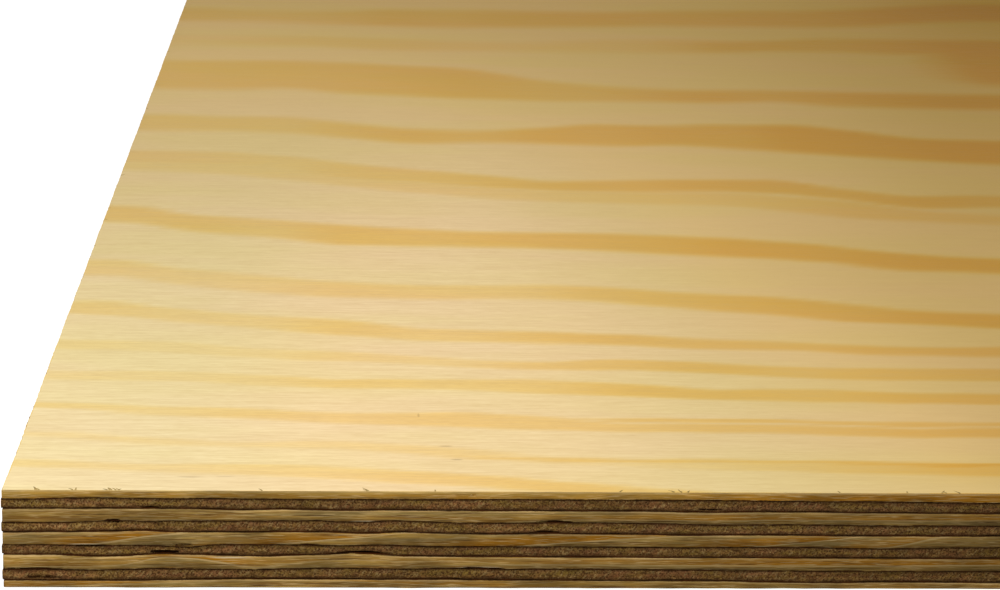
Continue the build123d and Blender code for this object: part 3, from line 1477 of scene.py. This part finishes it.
# Slivers of clean wood that stand up along the light plies of the front edge
EDGE_SLIVERS = (
    Fleck(111.5, 5.2, 6.5, 0.26, 1.0), Fleck(53.0, 7.5, 6.5, 0.24, 1.0), Fleck(85.0, 16.5, 5.5, 0.26, 1.0),
    Fleck(48.0, 16.55, 3.0, 0.22, 0.7), Fleck(19.0, 10.75, 5.0, 0.2, 0.7),
)


@dataclass(frozen=True)
class SandedFinish(Finish):
    """Sanded softwood: pale early wood, amber late wood, fine fibres and a few resin canals.

    Attributes:
        pale: early wood where it is palest, partly painted light at the front left corner.
        yellow: early wood where it is a little darker.
        brown: early wood where it is darkest, partly its own tone and partly painted shade towards the back
            right of the corner.
        late_filter: what late wood leaves of the colour round it.
        canal: the colour of the resin canals.
        fleck: the colour of its small marks.
        flecks: those marks.
        warm_painted_light: a broad patch of painted light that is a little redder and brighter, or None.
        painted_light_tint: what that patch multiplies the colour by.
        redder: what the redder of its slow patches multiply it by.
        greener: the same for the greener ones.
    """

    specular: float = 0.08
    pale: Colour = (0.865, 0.71, 0.40)
    yellow: Colour = (0.785, 0.557, 0.235)
    brown: Colour = (0.36, 0.205, 0.018)
    late_filter: Colour = (0.93, 0.70, 0.27)
    canal: Colour = (0.30, 0.16, 0.05)
    fleck: Colour = (0.20, 0.11, 0.04)
    flecks: tuple[Fleck, ...] = ()
    warm_painted_light: Fleck | None = None
    painted_light_tint: Colour = (1.10, 1.035, 1.04)
    redder: Colour = (1.008, 0.992, 1.01)
    greener: Colour = (0.99, 1.006, 0.93)

    def draw(self, graph: Graph, groups: EffectGroups) -> Inputs:
        """Sanded wood from the attributes of the mesh and the fibres of the group."""
        place, tone, white = graph.place(), graph.attribute("tone"), (1.0, 1.0, 1.0)
        fibre, canal, broad = (
            graph.group(groups.fibres, {"Vector": place, "Length": length, "Width": width})
            for length, width in ((11.0, 0.95), (9.0, 0.9), (60.0, 4.0))
        )
        late = self.feathered(graph, graph.attribute("late"), fibre["Streaks"])
        # The tone takes the early wood from pale to brown; near the corner part of that is painted shade
        # where the light falls off
        half_gold = graph.ramp(tone, 0.0, 0.5)
        early = graph.mix(half_gold, self.pale, self.yellow)
        early = graph.mix(graph.ramp(tone, 0.5, 1.25), early, self.brown)
        colour = graph.tint(early, graph.powers(self.late_filter, [late] * 3))
        shade = graph.product(
            graph.band(fibre["Streaks"], 0.25, 0.75, 0.90, 1.06),
            graph.band(fibre["Strands"], 0.25, 0.75, 0.95, 1.04),
            graph.band(broad["Streaks"], 0.25, 0.75, 0.96, 1.03),
        )
        shade = graph.powers([shade] * 3, (0.7, 1.0, 1.5))
        colour = graph.tint(colour, graph.mix(graph.math("MULTIPLY", half_gold, 0.7), shade, white))
        # Painted light: a broad patch where the face is brighter and a little redder
        if self.warm_painted_light:
            colour = graph.tint(colour, graph.mix(self.warm_painted_light.mask(graph, place, 1), white, self.painted_light_tint))
        patches = graph.band(graph.noise(place, (9.0, 26.0, 0.0), 2.0, 0.5), 0.35, 0.65)
        colour = graph.tint(colour, graph.mix(patches, self.redder, self.greener))
        resin = graph.band(canal["Streaks"], 0.74, 0.82, 0.0, 0.34)
        colour = graph.mix(resin, colour, self.canal)
        for mark in self.flecks:
            colour = graph.mix(mark.mask(graph, place, 1), colour, self.fleck)
        rough = graph.band(fibre["Streaks"], 0.2, 0.8, 0.50, 0.62)
        rough = graph.math("SUBTRACT", rough, graph.math("MULTIPLY", late, 0.06))
        relief = graph.math("ADD", fibre["Streaks"], graph.math("MULTIPLY", fibre["Strands"], 0.6))
        relief = graph.math("SUBTRACT", relief, resin)
        return self.surface(graph, colour, rough, relief, depth=0.04 * MM, strength=0.55)

    @staticmethod
    def feathered(graph: Graph, late: Socket, streaks: Socket) -> Socket:
        """Late wood whose half-dark edges break up into fibres."""
        edge = graph.math("MULTIPLY", late, graph.math("SUBTRACT", 1.0, late, clamp=True))
        drawn = graph.math("MULTIPLY", graph.math("SUBTRACT", streaks, 0.5), edge)
        return graph.math("MAXIMUM", graph.math("MULTIPLY_ADD", drawn, 1.6, late), 0.0)


@dataclass(frozen=True)
class SawnFinish(Finish):
    """What both kinds of sawn edge share.

    Attributes:
        grain: the way the fibres run, or the edge where only their ends show.
        stain_and_painted_shade: the glue's stain beside the glue lines, partly painted shade where it reaches
        further above a ply's lower side, and painted shade in the hollows of chips.
    """

    grain: Grain = Grain.ALONG
    stain_and_painted_shade: Colour = (0.055, 0.017, 0.003)

    @staticmethod
    def with_glue_and_painted_shade(
        graph: Graph, groups: EffectGroups, wood: Socket, glue: Colour, amount: float, inputs: Inputs
    ) -> Socket:
        """Wood darkened beside the glue lines and in hollows: glue soaked into it, and painted shade in the
        hollows of chips and where a finish widens it.

        Args:
            graph: the material's nodes.
            groups: the shared node groups.
            wood: the colour of the wood.
            glue: the dark colour that it mixes in.
            amount: how much of the stain shows.
            inputs: the place, how far the glue reaches in mm, and the hollows.

        Returns:
            The colour of the darkened wood.
        """
        away = {f"From {side}": graph.attribute(f"from_{side}") for side in ("upper", "lower")}
        mask = graph.group(groups.glue_stain, inputs | away)["Mask"]
        return graph.mix(graph.math("MULTIPLY", mask, amount), wood, glue)


@dataclass(frozen=True)
class SideGrainFinish(SawnFinish):
    """Sawn wood cut along its fibres: light, streaked, with slanting bands of late wood.

    Attributes:
        early: the wood between the bands.
        brown: the same where it is darker.
        late: the bands.
        dull: the greyish tone that the saw leaves in streaks.
        clean_and_painted_highlight: clean fibres, along the abrupt end of a band and in single lines, and a
        painted highlight along each ply's upper rim.
        dark: deep lines between fibres.
        light: how much lighter the whole ply is than a common one.
        painted_crown_highlight: how far its upper rim pales towards a sanded side, a painted highlight where
            the top of the edge catches light from above.
        painted_crown_colour: the colour it pales to.
        slivers: bright slivers of the front edge.
        clean: the colour of those slivers.
    """

    specular: float = 0.12
    early: Colour = (0.475, 0.288, 0.066)
    brown: Colour = (0.30, 0.158, 0.034)
    late: Colour = (0.44, 0.19, 0.012)
    dull: Colour = (0.345, 0.232, 0.074)
    clean_and_painted_highlight: Colour = (0.66, 0.46, 0.19)
    dark: Colour = (0.12, 0.055, 0.016)
    light: float = 1.0
    painted_crown_highlight: float = 0.0
    painted_crown_colour: Colour = (0.80, 0.60, 0.28)
    slivers: tuple[Fleck, ...] = ()
    clean: Colour = (0.86, 0.68, 0.40)

    def draw(self, graph: Graph, groups: EffectGroups) -> Inputs:
        """Side grain from the attributes of the sawn edge and the fibres of the group."""
        place = graph.place(self.grain)
        fibre, broad = (
            graph.group(groups.fibres, {"Vector": place, "Length": length, "Width": width})
            for length, width in ((17.0, 0.36), (70.0, 0.95))
        )
        ring, depth = graph.attribute("ring"), graph.attribute("late")
        late = {"Ring": ring, "Before": 0.74, "After": 0.03, "Depth": depth}
        edge = {
            "Ring": graph.math("SUBTRACT", ring, 0.05), "Before": 0.04, "After": 0.06,
            "Depth": graph.math("MAXIMUM", depth, 0.6),
        }
        colour = graph.mix(graph.band(broad["Streaks"], 0.40, 0.60), self.early, self.dull)
        colour = graph.mix(graph.band(broad["Strands"], 0.44, 0.66, 0.0, 0.9), colour, self.brown)
        colour = graph.mix(graph.group(groups.late_wood, late)["Mask"], colour, self.late)
        colour = graph.mix(graph.group(groups.late_wood, edge)["Mask"], colour, self.clean_and_painted_highlight)
        colour = graph.mix(graph.band(fibre["Streaks"], 0.45, 0.31, 0.0, 0.85), colour, self.dark)
        colour = graph.mix(graph.band(fibre["Strands"], 0.55, 0.70, 0.0, 0.85), colour, self.clean_and_painted_highlight)
        # Painted highlight: the upper rim of each ply is lighter, as it catches light from above
        rim = graph.band(graph.attribute("from_upper"), 0.62, 0.3)
        rim = graph.product(rim, graph.band(broad["Strands"], 0.40, 0.62), 0.6)
        colour = graph.mix(rim, colour, self.clean_and_painted_highlight)
        from_lower = graph.attribute("from_lower")
        slow = graph.noise(place, (62.0, 62.0, 240.0), 2.0, 0.6)
        # Painted shade and light: each ply darker towards its lower side and lighter towards its upper, as
        # light from above falls on the edge
        # The lighter attribute is partly painted shade, darker towards the right end of the corner
        colour = graph.tint(colour, graph.product(
            graph.band(from_lower, 0.1, 2.3, 0.80 * self.light, 1.12 * self.light),
            graph.band(slow, 0.3, 0.7, 0.72, 1.24),
            graph.math("ADD", graph.attribute("lighter"), 1.0),
        ))
        # Painted highlight: the face veneer's edge pales towards its top, below the arris
        painted_crown_highlight = graph.band(from_lower, 1.3, 2.1, 0.0, self.painted_crown_highlight)
        colour = graph.mix(painted_crown_highlight, colour, self.painted_crown_colour)
        for sliver in self.slivers:
            colour = graph.mix(sliver.mask(graph, place, 2), colour, self.clean)
        # Glue soaked in beside the glue lines, reaching further above the ply's lower side where it is partly
        # painted shade, and painted shade in the hollows of chips
        hollow = graph.attribute("hollow")
        glue = {"Vector": place, "Upper reach": 0.06, "Lower reach": 0.13, "Hollow": hollow}
        colour = self.with_glue_and_painted_shade(graph, groups, colour, self.stain_and_painted_shade, 0.92, glue)
        rough = graph.band(fibre["Streaks"], 0.2, 0.8, 0.62, 0.8)
        relief = graph.math("ADD", fibre["Streaks"], graph.math("MULTIPLY", fibre["Strands"], 0.5))
        return self.surface(graph, colour, rough, relief, depth=0.16 * MM, strength=0.8)


@dataclass(frozen=True)
class EndGrainFinish(SawnFinish):
    """Sawn wood cut across its fibres: dark, granular, with the slanting marks of the saw.

    Attributes:
        dark: the open cells.
        mid: the wood's own tone.
        light: fibre ends that stand up.
        mauve: the cooler tone of some patches.
        late_filter: what late wood leaves of the colour round it.
        shade: painted shadow, a wide dark tint along the lower glue line and a thinner one along the upper,
        under the overhanging light ply.
    """

    dark: Colour = (0.115, 0.050, 0.015)
    mid: Colour = (0.315, 0.192, 0.041)
    light: Colour = (0.41, 0.265, 0.10)
    mauve: Colour = (0.345, 0.158, 0.060)
    stain_and_painted_shade: Colour = (0.05, 0.0155, 0.003)
    late_filter: Colour = (0.70, 0.62, 0.55)
    shade: Colour = (0.10, 0.043, 0.014)

    def draw(self, graph: Graph, groups: EffectGroups) -> Inputs:
        """End grain from the pores, hatching and patches of the group."""
        place = graph.place(self.grain)
        cells = graph.group(groups.end_grain, {"Vector": place, "Cell": 0.42})
        ring, depth = graph.attribute("ring"), graph.attribute("late")
        late = {"Ring": ring, "Before": 0.5, "After": 0.12, "Depth": depth}
        colour = graph.mix(graph.band(cells["Patches"], 0.32, 0.68), self.mid, self.mauve)
        filtered = graph.tint(colour, self.late_filter)
        colour = graph.mix(graph.group(groups.late_wood, late)["Mask"], colour, filtered)
        colour = graph.mix(graph.band(cells["Pores"], 0.54, 0.36), colour, self.dark)
        raised = graph.product(
            graph.band(cells["Hatching"], 0.48, 0.66), graph.band(cells["Pores"], 0.38, 0.60)
        )
        colour = graph.mix(raised, colour, self.light)
        smear = graph.noise(place, (330.0, 330.0, 1500.0), 2.0, 0.6)
        # The lighter attribute is partly painted shade, darker towards the right end of the corner
        shade = graph.math("ADD", graph.attribute("lighter"), 1.0)
        colour = graph.tint(colour, graph.product(shade, graph.band(smear, 0.3, 0.7, 0.78, 1.22)))
        # Painted shadow: a wide dark tint along the lower glue line, and a thinner one along the upper under
        # the overhanging light ply
        wide = {"Vector": place, "Upper reach": 0.30, "Lower reach": 0.62}
        # Glue soaked in beside the glue lines, and painted shade in the hollows of chips
        hollow = graph.attribute("hollow")
        glue = {"Vector": place, "Upper reach": 0.09, "Lower reach": 0.08, "Hollow": hollow}
        colour = self.with_glue_and_painted_shade(graph, groups, colour, self.shade, 0.66, wide)
        colour = self.with_glue_and_painted_shade(graph, groups, colour, self.stain_and_painted_shade, 0.92, glue)
        relief = graph.math("ADD", cells["Pores"], cells["Hatching"])
        return self.surface(graph, colour, 0.85, relief, depth=0.45 * MM, strength=0.9)


@dataclass(frozen=True)
class FibreFinish(Finish):
    """Loose fibres, dry and dull.

    Attributes:
        colour: their brown.
        roughness: how dull they are.
    """

    colour: Colour = (0.36, 0.25, 0.085)
    roughness: float = 0.8

    def draw(self, graph: Graph, groups: EffectGroups) -> Inputs:
        """A dull brown that changes a little from fibre to fibre."""
        cells = graph.group(groups.end_grain, {"Vector": graph.place(), "Cell": 3.0})
        shade = graph.band(cells["Pores"], 0.3, 0.7, 0.5, 1.4)
        return {"Base Color": graph.tint(self.colour, shade), "Roughness": self.roughness}


@dataclass(frozen=True)
class GlueFinish(Finish):
    """Cured resin glue: almost black, a little glossy where it broke cleanly.

    Attributes:
        dark: its darkest tone.
        lighter: its lightest.
    """

    specular: float = 0.15
    dark: Colour = (0.054, 0.0115, 0.0007)
    lighter: Colour = (0.125, 0.036, 0.0025)

    def draw(self, graph: Graph, groups: EffectGroups) -> Inputs:
        """Dark resin with slow changes of tone and gloss."""
        cells = graph.group(groups.end_grain, {"Vector": graph.place(), "Cell": 0.7})
        colour = graph.mix(cells["Patches"], self.dark, self.lighter)
        rough = graph.band(cells["Pores"], 0.3, 0.7, 0.5, 0.75)
        return self.surface(graph, colour, rough, cells["Pores"], depth=0.1 * MM, strength=0.7)


class Studio:
    """The floor, the soft light and the camera."""

    white: Colour = (1.0, 1.0, 1.0)
    focal_px = 2800.0
    image_width_px = 1000.0
    sensor = 36.0
    camera_from_corner = Vector((78.0, -621.52, 229.67)) * MM
    pitch_down = math.radians(14.265)
    yaw = math.radians(-3.385)
    roll = math.radians(1.278)
    lamp_from_corner = Vector((-150.0, -100.0, 350.0)) * MM
    lamp_side = 0.30
    lamp_watts = 0.90
    lamp_colour: Colour = (1.0, 0.97, 0.92)

    def camera(self) -> None:
        """Stands the camera before the front left corner."""
        data = bpy.data.cameras.new("camera")
        data.sensor_width = self.sensor
        data.lens = self.focal_px / self.image_width_px * self.sensor
        data.clip_start, data.clip_end = 0.01, 100.0
        eye = bpy.data.objects.new("camera", data)
        bpy.context.scene.collection.objects.link(eye)
        eye.matrix_world = (
            Matrix.Translation(Vector((CORNER.x, CORNER.y, 0)) + self.camera_from_corner)
            @ Matrix.Rotation(self.yaw, 4, "Z")
            @ Matrix.Rotation(math.pi / 2 - self.pitch_down, 4, "X")
            @ Matrix.Rotation(self.roll, 4, "Z")
        )
        bpy.context.scene.camera = eye

    @staticmethod
    def show(graph: Graph, output: str, others: Socket, camera: Socket) -> None:
        """Shows one shader to the camera and another to everything else.

        Args:
            graph: the nodes of the material or world.
            output: the type of its output node.
            others: the shader that the other rays meet.
            camera: the one that the camera sees.
        """
        seen = graph.add("ShaderNodeLightPath").outputs["Is Camera Ray"]
        shown = graph.add("ShaderNodeMixShader", {0: seen, 1: others, 2: camera}).outputs[0]
        graph.add(output, {0: shown})

    def floor(self) -> None:
        """A pale floor that shows white to the camera and keeps the sheet's shadow."""
        bm = bmesh.new()
        bmesh.ops.create_grid(bm, x_segments=1, y_segments=1, size=30.0)
        ground = finished_object(bm, "floor")
        ground.data.transform(Matrix.Translation((0, 0, -0.05 * MM)))
        material = bpy.data.materials.new("floor")
        graph = empty_graph(material)
        lit = graph.add("ShaderNodeBsdfDiffuse", {"Color": (0.45, 0.45, 0.45)}).outputs[0]
        glow = graph.add("ShaderNodeEmission", {"Color": self.white, "Strength": 0.84}).outputs[0]
        both = graph.add("ShaderNodeAddShader", {0: lit, 1: glow}).outputs[0]
        self.show(graph, "ShaderNodeOutputMaterial", lit, both)
        ground.data.materials.append(material)

    def world(self) -> None:
        """Soft light from above, with a white background for the camera."""
        world = bpy.data.worlds.new("studio")
        bpy.context.scene.world = world
        graph = empty_graph(world)
        way = graph.add("ShaderNodeTexCoord").outputs["Generated"]
        up = graph.add("ShaderNodeSeparateXYZ", {0: way}).outputs[2]
        sky = {"Color": (1.0, 0.99, 0.965), "Strength": graph.band(up, 0.0, 1.0, 0.155, 0.95)}
        light = graph.add("ShaderNodeBackground", sky).outputs[0]
        plain = graph.add("ShaderNodeBackground", {"Color": self.white, "Strength": 1.0}).outputs[0]
        self.show(graph, "ShaderNodeOutputWorld", light, plain)

    def lamp(self) -> None:
        """A soft square lamp near the front left corner, facing it."""
        data = bpy.data.lights.new("corner_lamp", "AREA")
        data.size, data.energy, data.color = self.lamp_side, self.lamp_watts, self.lamp_colour
        lamp = bpy.data.objects.new("corner_lamp", data)
        place = Vector((CORNER.x, CORNER.y, CAD_BOX[1].z)) + self.lamp_from_corner
        facing = self.lamp_from_corner.to_track_quat("Z", "Y").to_matrix().to_4x4()
        lamp.matrix_world = Matrix.Translation(place) @ facing
        bpy.context.scene.collection.objects.link(lamp)

    def build(self) -> None:
        """Makes the whole studio."""
        self.camera()
        self.floor()
        self.world()
        self.lamp()


class PlywoodSheet:
    """The whole sheet: its plies, its glue lines and their finishes."""

    face_figure = SawnFigure(
        seed=10, run=400, ring=9, depth=0.5,
        upper=HandLine((0, 0.62), (63, 0.55), (136, 0.5), (188, 0.62), (251, 0.7), (330, 0.6)),
        lower=HandLine(
            (0, 1.0), (23, 1.02), (27, 0.98), (42, 0.95), (84, 0.86), (146, 0.9), (209, 1.05), (330, 1.0),
        ),
        depths=HandLine((0, 0.35), (30, 0.42), (150, 0.5), (185, 1.0), (240, 1.15)),
        shades_and_painted_falloff=HandLine(
            (0, 1.0), (40, 0.97), (75, 0.92), (103, 1.05), (131, 1.02), (159, 1.2), (187, 0.95),
            (215, 0.72),
        ),
    )
    back_figure = SawnFigure(
        seed=14, run=300, ring=7, depth=0.5,
        upper=HandLine((0, 0.5), (21, 0.8), (63, 1.0), (115, 0.6), (167, 0.55), (251, 0.6), (330, 0.6)),
        lower=HandLine((0, 1.1), (32, 1.3), (73, 1.6), (115, 1.1), (167, 0.9), (251, 1.2), (330, 1.2)),
        depths=HandLine(
            (0, 0.8), (25, 0.8), (40, 0.3), (75, 0.3), (85, 0.6), (110, 0.6), (125, 0.3), (240, 0.2),
        ),
        shades_and_painted_falloff=HandLine(
            (0, 0.85), (25, 0.85), (75, 1.15), (95, 0.85), (159, 0.82), (187, 1.0), (215, 0.85),
        ),
    )
    centre_figures = (
        SawnFigure(
            seed=11, run=210, ring=3.2, wobble=0.55, depth=0.55,
            upper=HandLine(
                (0, 0.1), (32, 0.15), (105, 0.05), (131, 0.3), (188, 0.45), (251, 0.6), (330, 0.9),
            ),
            lower=HandLine(
                (0, 0.95), (32, 1.1), (63, 1.0), (105, 0.9), (131, 1.3), (188, 1.4), (251, 1.5), (330, 1.9),
            ),
            depths=HandLine(
                (0, 0.6), (14, 0.2), (100, 0.2), (112, 0.5), (125, 0.25), (150, 0.5), (158, 0.8),
                (176, 0.75), (186, 0.6), (240, 0.7),
            ),
            shades_and_painted_falloff=HandLine(
                (0, 1.0), (47, 0.93), (75, 1.1), (103, 1.3), (131, 0.96), (159, 0.8), (190, 0.84),
                (215, 0.68),
            ),
        ),
        SawnFigure(
            seed=12, run=52, ring=5.5, wobble=0.35, depth=1.2,
            upper=HandLine(
                (0, -0.1), (8, 0.1), (40, 1.0), (91, 2.0), (157, 3.0), (201, 4.0), (210, 4.6), (219, 5.0),
                (288, 6.0), (330, 7.0),
            ),
            lower=HandLine(
                (0, 0.42), (17, 1.0), (60, 2.0), (117, 3.0), (172, 4.0), (192, 4.5), (203, 5.0), (258, 6.0),
                (312, 7.0), (330, 7.6),
            ),
            depths=HandLine(
                (0, 0.5), (10, 0.6), (16, 1.2), (36, 1.2), (43, 0.9), (50, 0.35), (57, 0.5), (63, 1.0),
                (80, 1.0), (88, 0.5), (100, 0.75), (115, 1.4), (138, 1.4), (146, 0.7), (156, 0.5),
                (165, 0.9), (175, 1.3), (196, 1.3), (205, 0.65), (214, 0.75), (222, 0.5), (240, 0.5),
            ),
            shades_and_painted_falloff=HandLine(
                (0, 0.84), (22, 0.84), (47, 1.03), (75, 0.93), (105, 0.88), (187, 0.88), (215, 0.75),
            ),
        ),
        SawnFigure(
            seed=13, run=105, ring=3.6, wobble=0.6, depth=0.7,
            upper=HandLine(
                (0, 0.3), (26, 0.5), (38, 0.9), (63, 0.72), (94, 0.6), (120, 0.7), (178, 0.66), (251, 0.8),
                (330, 1.2),
            ),
            lower=HandLine(
                (0, 1.2), (26, 1.3), (38, 1.6), (59, 1.1), (78, 1.6), (105, 1.75), (120, 1.25), (178, 1.3),
                (251, 1.4), (330, 2.2),
            ),
            depths=HandLine(
                (0, 0.3), (30, 0.3), (38, 1.0), (50, 1.0), (60, 0.3), (140, 0.4), (160, 0.65), (185, 0.95),
                (240, 0.95),
            ),
            shades_and_painted_falloff=HandLine(
                (0, 1.2), (22, 1.2), (47, 1.03), (75, 1.03), (103, 1.15), (131, 1.1), (159, 0.88),
                (187, 0.7), (215, 0.72),
            ),
        ),
    )
    # How light each crossband is along the front edge, partly its own tone and partly painted shade where the
    # light falls off towards the right end
    crossband_shades_and_painted_falloff = (
        HandLine(
            (0, 1.15), (22, 1.12), (47, 0.93), (75, 0.94), (103, 1.2), (131, 1.0), (159, 1.0), (187, 0.92),
            (215, 0.8),
        ),
        HandLine(
            (0, 1.3), (22, 1.28), (47, 1.07), (103, 1.14), (131, 1.1), (159, 0.95), (187, 0.97),
            (215, 0.84),
        ),
        HandLine(
            (0, 1.07), (47, 1.06), (75, 0.93), (103, 0.88), (131, 0.9), (159, 0.98), (187, 0.94),
            (215, 0.83),
        ),
        HandLine(
            (0, 1.15), (22, 1.13), (47, 1.03), (75, 1.08), (103, 0.97), (131, 1.06), (159, 1.06),
            (187, 0.97), (215, 0.86),
        ),
    )

    def __init__(self) -> None:
        """Prepares the lay-up and the finishes."""
        self.lay_up = LayUp()
        groups = EffectGroups()
        self.face = SandedFinish("sanded_face", flecks=FACE_FLECKS, warm_painted_light=FACE_PAINTED_LIGHT).make(groups)
        self.back = SandedFinish(
            "sanded_back", pale=(0.82, 0.65, 0.36), yellow=(0.77, 0.56, 0.26), brown=(0.46, 0.28, 0.09)
        ).make(groups)
        self.loose = FibreFinish("loose_fibres").make(groups)
        self.face_side = SideGrainFinish(
            "side_grain_face", early=(0.47, 0.29, 0.062), brown=(0.37, 0.20, 0.034), dull=(0.40, 0.27, 0.068),
            dark=(0.20, 0.10, 0.02), light=1.36, painted_crown_highlight=0.6,
        ).make(groups)
        self.side = {
            Grain.ALONG: SideGrainFinish("side_grain_along", slivers=EDGE_SLIVERS).make(groups),
            Grain.ACROSS: SideGrainFinish("side_grain_across", grain=Grain.ACROSS).make(groups),
        }
        self.end = {
            grain: EndGrainFinish(f"end_grain_{grain.name.lower()}", grain=grain).make(groups)
            for grain in Grain
        }
        self.glue = GlueFinish("glue").make(groups)

    def dress(self, ply: Ply, sanded: bpy.types.Material | None = None) -> None:
        """Builds a ply, gives it its materials, hides its CAD node and puts the ply on the body.

        Args:
            ply: what to build.
            sanded: the finish of its sanded side, or None where both sides are glued.
        """
        along, across = Grain.ALONG, Grain.ACROSS
        if ply.grain is along:
            side = self.face_side if ply.node == "face_veneer" else self.side[along]
            edges = (side, self.end[across])
        else:
            edges = (self.end[along], self.side[across])
        self.ride(ply.build(), (sanded or edges[0], *edges), ply.slot, ply.node)

    @staticmethod
    def ride(
        piece: bpy.types.Object, finishes: Sequence[bpy.types.Material], slot: str, node: str | None = None
    ) -> None:
        """Puts a finished piece on the body, and in the place of its CAD node if it has one.

        Args:
            piece: the piece.
            finishes: its materials, in the order of its faces' slots.
            slot: the record's material slot; not used.
            node: the CAD node that it stands for, or None.
        """
        for material in finishes:
            piece.data.materials.append(material)
        if node:
            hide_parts(node)
        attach(piece, BODY)
        piece.data.calc_loop_triangles()
        LOG.info("%s: %d triangles", piece.name, len(piece.data.loop_triangles))

    def inner_ply(self, slot: str, number: int, grain: Grain, figure: SawnFigure) -> Ply:
        """One of the plies that have glue on both sides."""
        return Ply(node=f"{slot}_{number}", slot=slot, grain=grain, figure=figure, lay_up=self.lay_up)

    def build(self) -> None:
        """Makes every piece of the sheet."""
        face = OuterVeneer(
            node="face_veneer", slot="face_veneer", grain=Grain.ALONG,
            figure=self.face_figure, lay_up=self.lay_up,
            sanded=RotaryFigure(1.0, FACE_CROSSING, CORNER_BANDS, gold=0.64, tones=CORNER_TONES_AND_PAINTED_FALLOFF),
        )
        back = OuterVeneer(
            node="back_veneer", slot="back_veneer", grain=Grain.ALONG,
            figure=self.back_figure, lay_up=self.lay_up,
            sanded=RotaryFigure(9.0, BACK_CROSSING, corner=(1200, 1200, 600)), upper=False,
            columns=((0, 0), (0.4, 430), (1, 2440)), rows=((0, 0), (1, 1220)), counts=(200, 220),
        )
        self.dress(face, self.face)
        self.dress(back, self.back)
        for number, figure in enumerate(self.centre_figures, start=1):
            self.dress(self.inner_ply("centre_ply", number, Grain.ALONG, figure))
        for number, shades_and_painted_falloff in enumerate(self.crossband_shades_and_painted_falloff, start=1):
            figure = SawnFigure(
                seed=20 + number, run=140 + 30 * number, ring=3.4, start=0.2 * number, shades_and_painted_falloff=shades_and_painted_falloff
            )
            self.dress(self.inner_ply("crossband", number, Grain.ACROSS, figure))
        for node in self.lay_up.lines:
            self.ride(GlueLine(node=node, lay_up=self.lay_up).build(), [self.glue], "glue_line", node)
        self.ride(TornFibres().build(), [self.loose], "face_veneer")


def main() -> None:
    """Builds the studio and the sheet, and sets how colours are shown."""
    logging.basicConfig(level=logging.INFO, format="%(name)s: %(message)s")
    Studio().build()
    PlywoodSheet().build()
    bpy.context.scene.view_settings.view_transform = "Standard"


if __name__ == "__main__":
    main()
